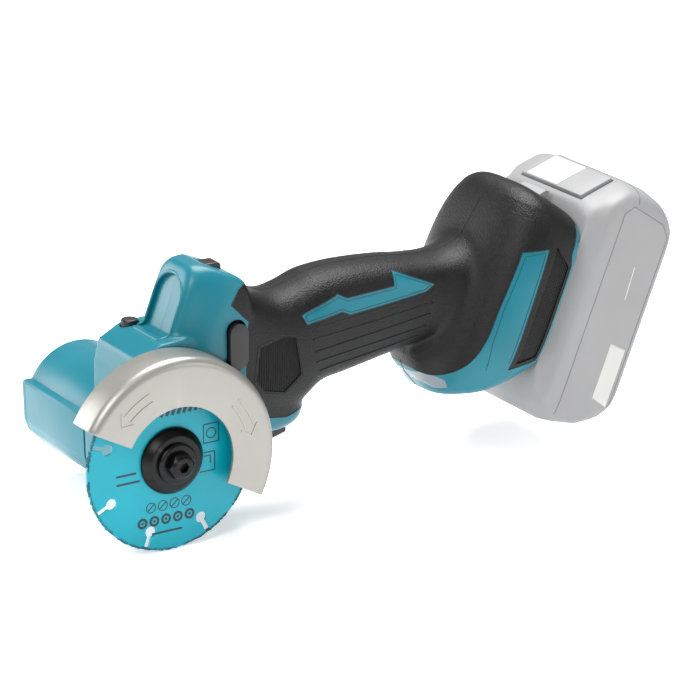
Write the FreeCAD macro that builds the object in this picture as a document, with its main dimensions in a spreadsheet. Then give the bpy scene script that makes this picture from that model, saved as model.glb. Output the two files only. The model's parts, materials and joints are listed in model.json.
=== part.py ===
import FreeCAD, Part
import math
import os
import Sketcher

# Cordless compact cut-off saw. All sizes in millimetres, real size.
# Design coordinates: the wheel's centre is the zero point, X points to the battery,
# Y points from the wheel into the machine, Z points up.
# Each placement adds the origin offsets, so the row frame's zero is the middle of
# the machine's lowest level.

doc = FreeCAD.newDocument("cut_off_saw")
V = FreeCAD.Vector

VALUES = [
    ("origin_x", -99.849), ("origin_y", -44.7), ("origin_z", 38.0),
    ("wheel_radius", 38.0), ("wheel_bore", 5.0), ("wheel_front", -0.5), ("wheel_back", 0.5),
    ("slot_count", 8), ("slot_radius", 30.5), ("slot_hole", 2.4), ("slot_half_width", 1.0),
    ("flange_radius", 14.0), ("flange_land", 11.0), ("bolt_radius", 2.9), ("bolt_flats", 10.0),
    ("bolt_socket", 4.0), ("guard_radius", 44.5), ("guard_inner", 24.5), ("guard_wall", 1.6),
    ("guard_front", -8.0), ("guard_back", 8.0), ("guard_start", -28.6), ("guard_end", 152.0),
    ("neck_radius", 17.0), ("collar_radius", 19.6), ("spindle_radius", 5.0),
    ("module", 0.8), ("gear_teeth", 18), ("pinion_teeth", 12), ("gear_angle", -24.1),
    ("gear_front", 21.0), ("gear_back", 28.0), ("running_gap", 0.05), ("shaft_radius", 2.5),
    ("stator_radius", 20.8), ("stator_bore", 11.6), ("rotor_radius", 11.0),
    ("core_front", 50.0), ("core_back", 78.0), ("motor_radius", 24.4), ("motor_end", 97.0),
    ("parting_y", 27.0), ("wall", 2.4), ("head_front_y", 10.0), ("head_back_y", 46.0),
    ("slide_angle", 22.3), ("foot_x", 173.2), ("foot_z", 10.5),
    ("battery_half", 37.5), ("battery_depth", 45.0), ("battery_low", -28.5),
    ("battery_high", 84.0), ("cell_radius", 9.0), ("cell_length", 65.0),
    ("rail_half", 26.0), ("rail_neck", 22.0), ("rail_depth", 14.0),
]
sheet = doc.addObject("Spreadsheet::Sheet", "dims")
D = {}
for row, (alias, value) in enumerate(VALUES, start=1):
    sheet.set("A%d" % row, alias)
    sheet.set("B%d" % row, str(value))
    sheet.setAlias("B%d" % row, alias)
doc.recompute()
for alias, value in VALUES:
    D[alias] = float(getattr(sheet, alias))

NODES = []
TILT = math.radians(D["slide_angle"])


# ---------------------------------------------------------------- helpers
def number(item):
    if isinstance(item, str):
        if item.startswith("-"):
            return -D[item[1:]]
        return D[item]
    return float(item)


def link(item):
    if item.startswith("-"):
        return "-dims." + item[1:]
    return "dims." + item


def place(obj, x=0.0, y=0.0, z=0.0, turn=0.0, axis=(0, 1, 0)):
    """Put an object at a design position; its place follows the origin offsets."""
    turned = FreeCAD.Rotation(V(*axis), turn)
    obj.Placement = FreeCAD.Placement(V(x, y, z), turned)
    obj.setExpression("Placement.Base.x", "dims.origin_x + %.6f" % x)
    obj.setExpression("Placement.Base.y", "dims.origin_y + %.6f" % y)
    obj.setExpression("Placement.Base.z", "dims.origin_z + %.6f" % z)
    NODES.append(obj)
    return obj


def origin_plane(body, role):
    return [f for f in body.Origin.OriginFeatures if f.Role == role][0]


def closed_sketch(body, name, points, plane):
    """A closed polygon sketch whose named corners follow the sheet."""
    sketch = body.newObject("Sketcher::SketchObject", name)
    sketch.AttachmentSupport = [(origin_plane(body, plane), "")]
    sketch.MapMode = "FlatFace"
    corners = [V(number(a), number(b), 0) for a, b in points]
    count = len(corners)
    for i in range(count):
        sketch.addGeometry(Part.LineSegment(corners[i], corners[(i + 1) % count]), False)
    for i in range(count):
        sketch.addConstraint(Sketcher.Constraint("Coincident", i, 2, (i + 1) % count, 1))
    for i, pair in enumerate(points):
        for kind, item, value in (("DistanceX", pair[0], corners[i].x),
                                  ("DistanceY", pair[1], corners[i].y)):
            index = sketch.addConstraint(Sketcher.Constraint(kind, -1, 1, i, 1, value))
            if isinstance(item, str):
                sketch.setExpression("Constraints[%d]" % index, link(item))
    return sketch


def turned_body(label, points, x=0.0, z=0.0, turn=0.0, register=True):
    """A body turned about the Y axis from (radius, station) corners."""
    body = doc.addObject("PartDesign::Body", label)
    body.Label = label
    sketch = closed_sketch(body, label + "_profile", points, "XY_Plane")
    lathe = body.newObject("PartDesign::Revolution", label + "_turning")
    lathe.Profile = sketch
    lathe.ReferenceAxis = (sketch, ["V_Axis"])
    lathe.Angle = 360
    doc.recompute()
    if register:
        place(body, x, 0.0, z, turn)
    return body


def cut_pattern(body, label, points, count):
    """Pocket one gap through a turned body along Y and repeat it round the axis."""
    sketch = closed_sketch(body, label + "_gap", points, "XZ_Plane")
    pocket = body.newObject("PartDesign::Pocket", label + "_cut")
    pocket.Profile = sketch
    pocket.Type = 1
    pocket.Midplane = True
    doc.recompute()
    before = body.Shape.Volume
    pattern = body.newObject("PartDesign::PolarPattern", label + "_round")
    pattern.Originals = [pocket]
    pattern.Axis = (origin_plane_axis(body), [""])
    pattern.Angle = 360
    pattern.Occurrences = int(count)
    body.Tip = pattern
    doc.recompute()
    if not body.Shape.Volume < before:
        raise ValueError(label + " pattern removed nothing")
    return body


def origin_plane_axis(body):
    return [f for f in body.Origin.OriginFeatures if f.Role == "Y_Axis"][0]


def solid(label, shape, x=0.0, y=0.0, z=0.0, turn=0.0, axis=(0, 1, 0)):
    """A shape made by the functions below, from sizes read off the sheet."""
    obj = doc.addObject("Part::Feature", label)
    obj.Label = label
    obj.Shape = shape
    return place(obj, x, y, z, turn, axis)


def prism(points, y0, y1):
    """An X-Z polygon made solid from y0 to y1."""
    wire = Part.makePolygon([V(a, y0, b) for a, b in points + points[:1]])
    return Part.Face(wire).extrude(V(0, y1 - y0, 0))


def cylinder(radius, y0, y1, x=0.0, z=0.0):
    return Part.makeCylinder(radius, y1 - y0, V(x, y0, z), V(0, 1, 0))


def ring(outer, inner, y0, y1, x=0.0, z=0.0):
    return cylinder(outer, y0, y1, x, z).cut(cylinder(inner, y0 - 1, y1 + 1, x, z))


def box(x0, x1, y0, y1, z0, z1):
    return Part.makeBox(x1 - x0, y1 - y0, z1 - z0, V(x0, y0, z0))


def hexagon(flats):
    radius = flats / math.sqrt(3)
    return [(radius * math.cos(math.radians(60 * i)),
             radius * math.sin(math.radians(60 * i))) for i in range(6)]


def tilted(n, u):
    """Foot and battery coordinates (n rearward, u up the slide) to X-Z."""
    x = D["foot_x"] + n * math.cos(TILT) + u * math.sin(TILT)
    z = D["foot_z"] - n * math.sin(TILT) + u * math.cos(TILT)
    return x, z


def tilted_prism(points, y0, y1):
    return prism([tilted(n, u) for n, u in points], y0, y1)


def tilted_box(n0, n1, y0, y1, u0, u1):
    return tilted_prism([(n0, u0), (n1, u0), (n1, u1), (n0, u1)], y0, y1)


def rounded_wire(to_point, half_a, low, high, power, count=28):
    """A smooth rounded-rectangle wire; to_point maps (side, height) to space."""
    middle = (low + high) / 2
    half_b = (high - low) / 2
    points = []
    for i in range(count):
        t = 2 * math.pi * (i + 0.5) / count
        c = math.cos(t)
        s = math.sin(t)
        a = half_a * math.copysign(abs(c) ** (2 / power), c)
        b = half_b * math.copysign(abs(s) ** (2 / power), s)
        points.append(to_point(a, middle + b))
    curve = Part.BSplineCurve()
    curve.interpolate(Points=points, PeriodicFlag=True)
    return Part.Wire([curve.toShape()])


def loft_x(stations, inset=0.0):
    """Loft through sections across X: (x, low, high, half width, power)."""
    wires = []
    for x, low, high, half, power in stations:
        def to_point(a, b, x=x):
            return V(x, D["parting_y"] + a, b)
        wires.append(rounded_wire(to_point, half - inset, low + inset, high - inset, power))
    return Part.makeLoft(wires, True, False)


def loft_n(stations, inset=0.0):
    """Loft through sections across the slide normal: (n, low, high, half, power)."""
    wires = []
    for n, low, high, half, power in stations:
        def to_point(a, b, n=n):
            x, z = tilted(n, b)
            return V(x, D["parting_y"] + a, z)
        wires.append(rounded_wire(to_point, half - inset, low + inset, high - inset, power))
    return Part.makeLoft(wires, True, False)


def join(shapes):
    result = shapes[0]
    for other in shapes[1:]:
        result = result.fuse(other)
    return result.removeSplitter()


def biggest(shape):
    return sorted(shape.Solids, key=lambda s: -s.Volume)[0]


def solids_over(shape, least):
    """Keep the real pieces of a cut and drop slivers."""
    kept = [s for s in shape.Solids if s.Volume > least]
    if len(kept) == 1:
        return kept[0]
    return Part.makeCompound(kept)


# ---------------------------------------------------------------- wheel and spindle
GEAR_DISTANCE = D["module"] * (D["gear_teeth"] + D["pinion_teeth"]) / 2
MOTOR_X = GEAR_DISTANCE * math.cos(math.radians(D["gear_angle"]))
MOTOR_Z = GEAR_DISTANCE * math.sin(math.radians(D["gear_angle"]))


def make_wheel():
    body = turned_body("cutting_wheel", [("wheel_bore", "wheel_front"), ("wheel_radius", "wheel_front"),
                                         ("wheel_radius", "wheel_back"), ("wheel_bore", "wheel_back")],
                       register=False)
    half = D["slot_half_width"]
    hole = D["slot_hole"]
    mid = D["slot_radius"]
    gap = []
    start = math.asin(half / hole)
    for i in range(13):
        t = start + (2 * math.pi - 2 * start) * i / 12
        gap.append((mid + hole * math.cos(t), hole * math.sin(t)))
    gap.append((D["wheel_radius"] + 2, -half))
    gap.append((D["wheel_radius"] + 2, half))
    cut_pattern(body, "cutting_wheel", gap, D["slot_count"])
    place(body, 0, 0, 0, 109.0)


def make_flanges():
    turned_body("inner_flange", [(3.2, -0.4), (4.95, -0.4), (4.95, "wheel_back"),
                                 ("flange_radius", "wheel_back"), ("flange_radius", 2.0),
                                 ("flange_land", 3.0), ("flange_land", 4.5), (3.2, 4.5)])
    turned_body("outer_flange", [(3.0, "wheel_front"), ("flange_radius", "wheel_front"),
                                 ("flange_radius", -1.7), (11.2, -4.8), (3.0, -4.8)])
    turned_body("clamp_washer", [(3.0, -4.8), (8.6, -4.8), (8.6, -6.2), (7.9, -6.9), (3.0, -6.9)])
    head = prism(hexagon(D["bolt_flats"]), -11.2, -6.9)
    crown = Part.makeCone(3.9, 10.5, 6.6, V(0, -11.2, 0), V(0, 1, 0))
    head = head.common(crown)
    socket = prism(hexagon(D["bolt_socket"]), -12, -8.4)
    shank = cylinder(D["bolt_radius"], -6.95, 13.5)
    solid("clamp_bolt", join([head, shank]).cut(socket))


def make_spindle():
    turned_body("spindle", [(2.95, 4.5), ("spindle_radius", 4.5), ("spindle_radius", 18.4),
                            (6.4, 18.4), (6.4, "gear_front"), ("spindle_radius", "gear_front"),
                            ("spindle_radius", 29.0), (3.0, 29.0), (3.0, 35.4), (0, 35.4),
                            (0, 14.0), (2.95, 14.0)])


def tooth_gap(teeth, backlash):
    """One gap between involute teeth, centred on +X."""
    pitch = D["module"] * teeth / 2
    base = pitch * math.cos(math.radians(20))
    tip = pitch + 0.85 * D["module"]
    root = pitch - 1.15 * D["module"]
    tan_p = math.sqrt((pitch / base) ** 2 - 1)
    involute_p = tan_p - math.atan(tan_p)
    half_gap = math.pi / 2 / teeth + backlash / 2 / pitch

    def flank(radius):
        if radius <= base:
            return half_gap - involute_p
        tan_r = math.sqrt((radius / base) ** 2 - 1)
        return half_gap + (tan_r - math.atan(tan_r)) - involute_p

    radii = [root] + [base + (tip + 0.6 - base) * i / 5 for i in range(6)]
    upper = [(r * math.cos(flank(r)), r * math.sin(flank(r))) for r in radii]
    lower = [(a, -b) for a, b in reversed(upper)]
    return upper + lower, tip


def make_gears():
    gap, tip = tooth_gap(D["gear_teeth"], 0.12)
    gear = turned_body("spur_gear", [("spindle_radius", "gear_front"), (tip, "gear_front"),
                                     (tip, "gear_back"), ("spindle_radius", "gear_back")],
                       register=False)
    cut_pattern(gear, "spur_gear", gap, D["gear_teeth"])
    place(gear, 0, 0, 0, -D["gear_angle"])
    gap, tip = tooth_gap(D["pinion_teeth"], 0.12)
    pinion = turned_body("drive_pinion", [("shaft_radius", "gear_front"), (tip, "gear_front"),
                                          (tip, "gear_back"), ("shaft_radius", "gear_back")],
                         register=False)
    cut_pattern(pinion, "drive_pinion", gap, D["pinion_teeth"])
    place(pinion, MOTOR_X, 0, MOTOR_Z, -D["gear_angle"] + 180.0 / D["pinion_teeth"])


def bearing(label, inner, outer, y0, y1, x=0.0, z=0.0):
    """A shielded ball bearing, drawn as one turned ring with recessed shields."""
    third = (outer - inner) / 3
    turned_body(label, [(inner, y0), (inner + third, y0), (inner + third, y0 + 0.4),
                        (outer - third, y0 + 0.4), (outer - third, y0), (outer, y0),
                        (outer, y1), (outer - third, y1), (outer - third, y1 - 0.4),
                        (inner + third, y1 - 0.4), (inner + third, y1), (inner, y1)], x, z)


def make_bearings():
    gap = D["running_gap"]
    bearing("front_bearing", D["spindle_radius"] + gap, 11.0, 12.0, 18.0)
    bearing("rear_bearing", 3.0 + gap, 6.0, 30.5, 35.0)
    bearing("motor_front_bearing", D["shaft_radius"] + gap, 8.0, 38.0, 43.0, MOTOR_X, MOTOR_Z)
    bearing("motor_rear_bearing", D["shaft_radius"] + gap, 6.5, 90.0, 94.0, MOTOR_X, MOTOR_Z)


# ---------------------------------------------------------------- motor
def make_rotor():
    turned_body("rotor_shaft", [(0, 20.0), ("shaft_radius", 20.0), ("shaft_radius", 44.0),
                                (4.0, 44.0), (4.0, "core_front"), (4.0, 88.5),
                                ("shaft_radius", 88.5), ("shaft_radius", 94.5), (0, 94.5)],
                MOTOR_X, MOTOR_Z)
    core = ring(D["rotor_radius"], 4.0, D["core_front"], D["core_back"])
    magnets = []
    for i in range(4):
        slab = box(-6.0, 6.0, D["core_front"], D["core_back"], 7.2, 8.8)
        slab.rotate(V(0, 0, 0), V(0, 1, 0), 90 * i + 20)
        magnets.append(slab)
    for slab in magnets:
        core = core.cut(slab)
    solid("rotor_core", core, MOTOR_X, 0, MOTOR_Z)
    solid("rotor_magnets", Part.makeCompound(magnets), MOTOR_X, 0, MOTOR_Z)
    parts = [ring(6.5, 4.0, 83.0, 88.0), ring(17.6, 6.0, 87.0, 88.0)]
    for i in range(11):
        blade = box(6.2, 17.4, 83.4, 87.2, -0.5, 0.5)
        blade.rotate(V(6.2, 0, 0), V(0, 1, 0), 24)
        blade.rotate(V(0, 0, 0), V(0, 1, 0), 360.0 / 11 * i)
        parts.append(blade)
    fan = join(parts).common(ring(17.6, 4.0, 82, 89))
    solid("cooling_fan", fan, MOTOR_X, 0, MOTOR_Z)


def make_stator():
    y0 = D["core_front"]
    y1 = D["core_back"]
    core = ring(D["stator_radius"], 17.6, y0, y1)
    teeth = []
    for i in range(6):
        tooth = box(12.0, 18.2, y0, y1, -2.6, 2.6)
        shoe = box(10.0, 13.6, y0, y1, -5.0, 5.0).cut(cylinder(D["stator_bore"], y0 - 1, y1 + 1))
        shoe = shoe.common(cylinder(13.6, y0, y1))
        piece = tooth.fuse(shoe)
        piece = piece.cut(cylinder(D["stator_bore"], y0 - 1, y1 + 1))
        piece.rotate(V(0, 0, 0), V(0, 1, 0), 60 * i)
        teeth.append(piece)
    solid("stator_core", join([core] + teeth), MOTOR_X, 0, MOTOR_Z)
    coils = []
    for i in range(6):
        coil = box(13.9, 17.3, y0 - 3.2, y1 + 2.8, -4.8, 4.8)
        coil = coil.cut(box(13.0, 18.0, y0 - 0.3, y1 + 0.3, -2.8, 2.8))
        coil = coil.common(cylinder(17.4, y0 - 5, y1 + 5))
        coil.rotate(V(0, 0, 0), V(0, 1, 0), 60 * i)
        coils.append(coil)
    solid("stator_coils", Part.makeCompound(coils), MOTOR_X, 0, MOTOR_Z)
    board = ring(19.5, 12.0, y0 - 5.4, y0 - 3.8)
    chips = [box(15, 18, y0 - 6.4, y0 - 5.4, -1.5, 1.5) for _ in range(3)]
    for i, chip in enumerate(chips):
        chip.rotate(V(0, 0, 0), V(0, 1, 0), 60 * i + 100)
    solid("sensor_board", join([board] + chips), MOTOR_X, 0, MOTOR_Z)


# ---------------------------------------------------------------- guard
def guard_sector(outer, inner, y0, y1):
    """A ring sector over the guarded half turn, with radial cut ends."""
    full = ring(outer, inner, y0, y1)
    start = math.radians(D["guard_start"])
    end = math.radians(D["guard_end"])
    steps = [start + (end - start) * i / 6 for i in range(7)]
    reach = outer * 1.6
    fan_points = [(0, 0)] + [(reach * math.cos(t), reach * math.sin(t)) for t in steps]
    return full.common(prism(fan_points, y0 - 1, y1 + 1))


def make_guard():
    front = D["guard_front"]
    back = D["guard_back"]
    wall = D["guard_wall"]
    big = D["guard_radius"]
    shell = cylinder(big, front, back)
    rim = [e for e in shell.Edges if e.Closed and abs(e.BoundBox.YMin - front) < 0.01
           and abs(e.BoundBox.YMax - front) < 0.01]
    shell = shell.makeFillet(4.0, rim)
    inside = cylinder(big - wall, front + wall, back - wall)
    rim = [e for e in inside.Edges if e.Closed and abs(e.BoundBox.YMax - front - wall) < 0.01]
    inside = inside.makeFillet(2.6, rim)
    shell = shell.cut(inside)
    shell = shell.cut(cylinder(D["guard_inner"], front - 1, front + wall + 1))
    half = shell.common(guard_sector(big + 1, 0.1, front - 1, back + 1))
    half = half.cut(cylinder(D["collar_radius"], back - wall - 1, back + 1))
    collar = ring(D["collar_radius"] + 1.6, D["neck_radius"] + 0.35, back - 3.0, back)
    ear_a = box(-6.2, -2.0, back - 3.0, back, -26.0, -18.4)
    ear_b = box(2.0, 6.2, back - 3.0, back, -26.0, -18.4)
    gap = box(-2.0, 2.0, back - 4.0, back + 1, -30, -16)
    collar = join([collar, ear_a, ear_b]).cut(gap)
    hole = Part.makeCylinder(1.2, 20, V(-10, back - 1.5, -23), V(1, 0, 0))
    whole = join([half, collar]).cut(hole)
    solid("wheel_guard", biggest(whole))
    pin = Part.makeCylinder(1.15, 15.2, V(-6.5, back - 1.5, -23), V(1, 0, 0))
    head = Part.makeCylinder(2.4, 2.2, V(-8.4, back - 1.5, -23), V(1, 0, 0))
    slot = Part.makeBox(1.2, 0.8, 6.2, V(-9.1, back - 1.9, -26.1))
    solid("guard_clamp_screw", join([pin, head]).cut(slot))
    nut = prism(hexagon(5.0), 0, 2.3)
    nut.rotate(V(0, 0, 0), V(0, 0, 1), -90)
    nut.translate(V(6.2, back - 1.5, -23))
    nut = nut.cut(Part.makeCylinder(1.2, 10, V(4, back - 1.5, -23), V(1, 0, 0)))
    solid("guard_clamp_nut", nut)


# ---------------------------------------------------------------- housing
MOTOR_SECTION = [(-10.5, 6.6), (-14.2, 6.6), (-15.0, 5.6), (-14.6, -10.6), (-12.9, -15.6),
                 (-6.0, -23.0), (4.0, -27.5), (12.0, -20.0), (12.0, 6.6)]

HEAD_SECTION = [(-15.0, 5.6), (-14.6, -10.6), (-12.9, -15.6), (-6.0, -23.0), (2.0, -27.6),
                (12.0, -29.2), (24.0, -26.0), (33.0, -17.0), (44.0, -8.5), (50.0, 6.0),
                (50.0, 20.0), (40.0, 40.0), (14.0, 45.6), (2.5, 44.8), (-7.4, 39.6), (-9.5, 31.0), (-10.5, 6.6),
                (-14.2, 6.6)]

HANDLE = [(6.6, 5.0, 41.5, 13.2, 5.0), (13.0, 0.0, 55.0, 13.8, 5.0), (19.6, -2.0, 68.6, 13.8, 5.0),
          (24.0, -4.0, 72.0, 15.0, 4.2), (31.0, -4.0, 69.2, 17.8, 3.6), (40.0, -3.0, 64.4, 19.4, 3.2),
          (50.0, 0.0, 57.2, 19.6, 3.0), (60.0, 2.0, 53.6, 19.2, 2.8), (70.0, 3.4, 55.4, 19.0, 2.7),
          (80.0, 11.0, 58.5, 19.0, 2.7), (92.0, 13.4, 59.6, 19.0, 2.7), (104.0, 15.6, 59.4, 19.0, 2.7),
          (118.0, 18.0, 58.4, 18.6, 2.7), (132.0, 19.6, 56.8, 18.0, 2.6), (146.0, 17.0, 57.0, 18.6, 2.5),
          (156.0, 10.0, 61.0, 21.0, 2.5), (163.0, 4.0, 66.0, 23.0, 2.5)]

# Rounded collar under the grip's front end, round the trigger.
COLLAR = [(38.0, -14.0, 22.0, 17.0, 3.0), (46.0, -8.4, 22.0, 17.0, 3.0), (54.0, -6.4, 20.0, 16.2, 2.8),
          (62.0, -6.6, 16.0, 14.6, 2.6), (69.0, -5.6, 11.0, 11.8, 2.4), (74.0, -2.8, 7.4, 7.6, 2.2),
          (76.4, 0.0, 4.4, 3.2, 2.0)]

FOOT = [(-46.0, -14.0, -4.0, 10.0, 2.4), (-40.0, -21.0, 6.0, 16.0, 2.6), (-33.0, -25.0, 48.0, 23.0, 2.8),
        (-28.5, -27.0, 63.0, 30.0, 3.0), (-22.0, -25.0, 68.6, 34.5, 3.4), (-14.0, -20.5, 67.6, 36.6, 4.0),
        (-6.0, -13.0, 65.4, 37.2, 4.4), (0.0, -7.0, 63.6, 37.2, 4.4)]

# Front edge of the black grip on the housing's side, then round the rear of everything.
GRIP_EDGE = [(42.1, 90.0), (42.1, 63.1), (38.0, 63.0), (33.4, 56.2), (41.2, 48.3), (40.9, 43.7),
             (39.7, 26.2), (42.0, 12.0), (50.0, 5.0), (62.0, 1.5), (72.6, 2.6), (90.0, -10.0),
             (120.0, -40.0), (260.0, -40.0), (260.0, 90.0)]

# Coloured band on the foot, in foot coordinates (n, u).
BAND_EDGE = [(-27.2, 44.0), (-19.2, 49.2), (-17.2, -4.9), (-7.6, -7.4), (3.0, -4.6), (3.0, -40.0),
             (-60.0, -40.0), (-60.0, -19.0), (-40.0, -16.5), (-31.0, -12.0), (-24.0, -3.0),
             (-24.8, 20.0)]


def housing_outer():
    section = prism(HEAD_SECTION, D["head_front_y"], D["head_back_y"])
    barrel = cylinder(D["motor_radius"], D["head_front_y"], D["head_back_y"], MOTOR_X, MOTOR_Z)
    lower = section.fuse(barrel)
    head = loft_x(HANDLE)
    foot = loft_n(FOOT)
    return lower.fuse(loft_x(COLLAR)).fuse(head).fuse(foot)


def housing_cavities():
    y0 = D["head_front_y"]
    y1 = D["head_back_y"]
    cavities = [
        cylinder(22.0, y0 + 4.0, y1 + 1.0, MOTOR_X, MOTOR_Z),
        cylinder(12.8, y0 - 1.0, y1 - 8.0),
        cylinder(D["guard_radius"] + 0.8, -60.0, D["guard_back"] + 0.4),
        box(1.2, 8.8, 20.0, 45.0, 17.0, 36.8),
        Part.makeCylinder(2.0, 6.0, V(5.0, 24.5, 12.0), V(0, 0, 1)),
        loft_x([s for s in HANDLE if s[0] > 18.0 and s[0] < 150.0], D["wall"]),
        box(42.6, 68.4, 19.6, 34.4, -14.0, 12.0),
        tilted_box(-28.0, -15.4, 27 - 29.0, 27 + 29.0, -12.0, 58.0),
        tilted_box(-15.6, -6.6, 27 - 27.0, 27 + 27.0, -12.0, 90.0),
        tilted_box(-6.8, 3.0, 27 - 23.0, 27 + 23.0, -12.0, 90.0),
    ]
    return cavities


def other_openings():
    """Seats cut through the shells for the buttons, the lever, the lamp and the inlays."""
    return [
        box(29.1, 37.9, 22.3, 31.7, 60.0, 90.0),
        box(31.0, 40.6, -5.0, 12.0, 28.4, 50.2),
        Part.makeCylinder(4.0, 8.0, V(5.0, 41.2, 41.2), V(0, 0, 1)),
        Part.makeCylinder(2.0, 10.0, V(5.0, 41.2, 36.0), V(0, 0, 1)),
        tilted_box(-37.0, -26.0, 27 - 9.0, 27 + 9.0, -34.0, -14.0),
    ]


INLAY = [(67.9, 45.5), (69.8, 41.5), (85.3, 51.1), (89.1, 48.5), (112.5, 50.0), (114.0, 56.0),
         (132.8, 47.7), (128.0, 45.4), (112.0, 45.0), (90.0, 43.2), (86.0, 44.6), (70.5, 38.2),
         (65.5, 44.2)]


# Case screws on the far side: x, z and the depth of each head's seat.
SCREW_SPOTS = [(84.0, 30.0, 43.6), (120.0, 34.0, 43.2), (50.0, 48.0, 43.8), (48.0, 12.0, 43.6)]


def make_housing():
    outer = housing_outer()
    hollow = outer
    for cavity in housing_cavities() + other_openings():
        hollow = hollow.cut(cavity)
    left_half = box(-60, 260, -60, D["parting_y"], -60, 120)
    right_half = box(-60, 260, D["parting_y"], 110, -60, 120)
    grip_zone = prism(GRIP_EDGE, -60, 110)
    band_zone = tilted_prism(BAND_EDGE, -60, 110)
    skin = outer.cut(loft_x(HANDLE, 1.2))
    for name, half, side in (("left", left_half, -1), ("right", right_half, 1)):
        piece = hollow.common(half)
        inlay = prism(INLAY, -60, 27) if side < 0 else prism(INLAY, 27, 110)
        inlay = skin.common(inlay).common(half)
        inlay = solids_over(inlay, 5.0)
        if side > 0:
            for x, z, y in SCREW_SPOTS:
                piece = piece.cut(cylinder(3.0, y, y + 20.0, x, z))
        grip = piece.common(grip_zone)
        head = piece.cut(grip_zone)
        band = grip.common(band_zone)
        grip = grip.cut(band_zone).cut(inlay)
        solid("head_shell_" + name, solids_over(head, 20.0))
        solid("grip_shell_" + name, solids_over(grip, 20.0))
        solid("foot_band_" + name, solids_over(band, 20.0))
        solid("grip_inlay_" + name, inlay)


def make_motor_housing():
    y0 = D["head_back_y"] + 0.0
    y1 = D["motor_end"]
    block = prism(MOTOR_SECTION, y0, y1)
    outer = block.fuse(cylinder(D["motor_radius"], y0, y1, MOTOR_X, MOTOR_Z))
    hollow = outer.cut(cylinder(21.2, y0 - 1, y1 + 1, MOTOR_X, MOTOR_Z))
    pocket = prism([(-12.6, 4.2), (-12.6, -9.8), (-11.0, -14.0), (-4.0, -14.0), (-4.0, 4.2)], y0 + 2, y1 - 3)
    hollow = hollow.cut(pocket.cut(cylinder(22.8, y0, y1, MOTOR_X, MOTOR_Z)))
    for i in range(5):
        vent = box(-2.0, 2.0, 82.5 + 0.0, 88.5, 20.0, 26.0)
        vent.translate(V(MOTOR_X, 0, MOTOR_Z))
        vent.rotate(V(MOTOR_X, 0, MOTOR_Z), V(0, 1, 0), 130 + 16 * i)
        hollow = hollow.cut(vent)
    solid("motor_housing", solids_over(hollow, 50))
    plate = prism(MOTOR_SECTION, y1, y1 + 3.6)
    plate = plate.fuse(cylinder(D["motor_radius"], y1, y1 + 3.6, MOTOR_X, MOTOR_Z)).removeSplitter()
    rim = [e for e in plate.Edges if abs(e.BoundBox.YMin - y1 - 3.6) < 0.01 and abs(e.BoundBox.YMax - y1 - 3.6) < 0.01]
    plate = plate.makeChamfer(1.2, rim)
    seat = ring(9.0, 6.5, 89.4, y1 + 0.2, MOTOR_X, MOTOR_Z)
    spokes = []
    for i in range(3):
        spoke = box(8.0, 21.0, 95.4, y1 + 0.2, -1.5, 1.5)
        spoke.translate(V(MOTOR_X, 0, MOTOR_Z))
        spoke.rotate(V(MOTOR_X, 0, MOTOR_Z), V(0, 1, 0), 120 * i + 30)
        spokes.append(spoke)
    cap = join([plate, seat] + spokes)
    for k in range(-3, 4):
        slot = box(MOTOR_X - 12 + abs(k) * 1.2, MOTOR_X + 12 - abs(k) * 1.2, y1 + 1.6, y1 + 5,
                   MOTOR_Z + 4.4 * k - 1.0, MOTOR_Z + 4.4 * k + 1.0)
        cap = cap.cut(slot)
    for sx, sz in ((-19.0, 0.0), (14.0, 14.0), (14.0, -14.0)):
        cap = cap.cut(cylinder(2.4, y1 + 2.0, y1 + 5, MOTOR_X + sx, MOTOR_Z + sz))
    solid("motor_end_cap", cap)
    heads = []
    for sx, sz in ((-19.0, 0.0), (14.0, 14.0), (14.0, -14.0)):
        head = cylinder(2.3, y1 + 2.0, y1 + 3.6, MOTOR_X + sx, MOTOR_Z + sz)
        head = head.cut(cylinder(1.1, y1 + 2.8, y1 + 5, MOTOR_X + sx, MOTOR_Z + sz))
        heads.append(head)
    solid("cap_screws", Part.makeCompound(heads))


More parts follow.
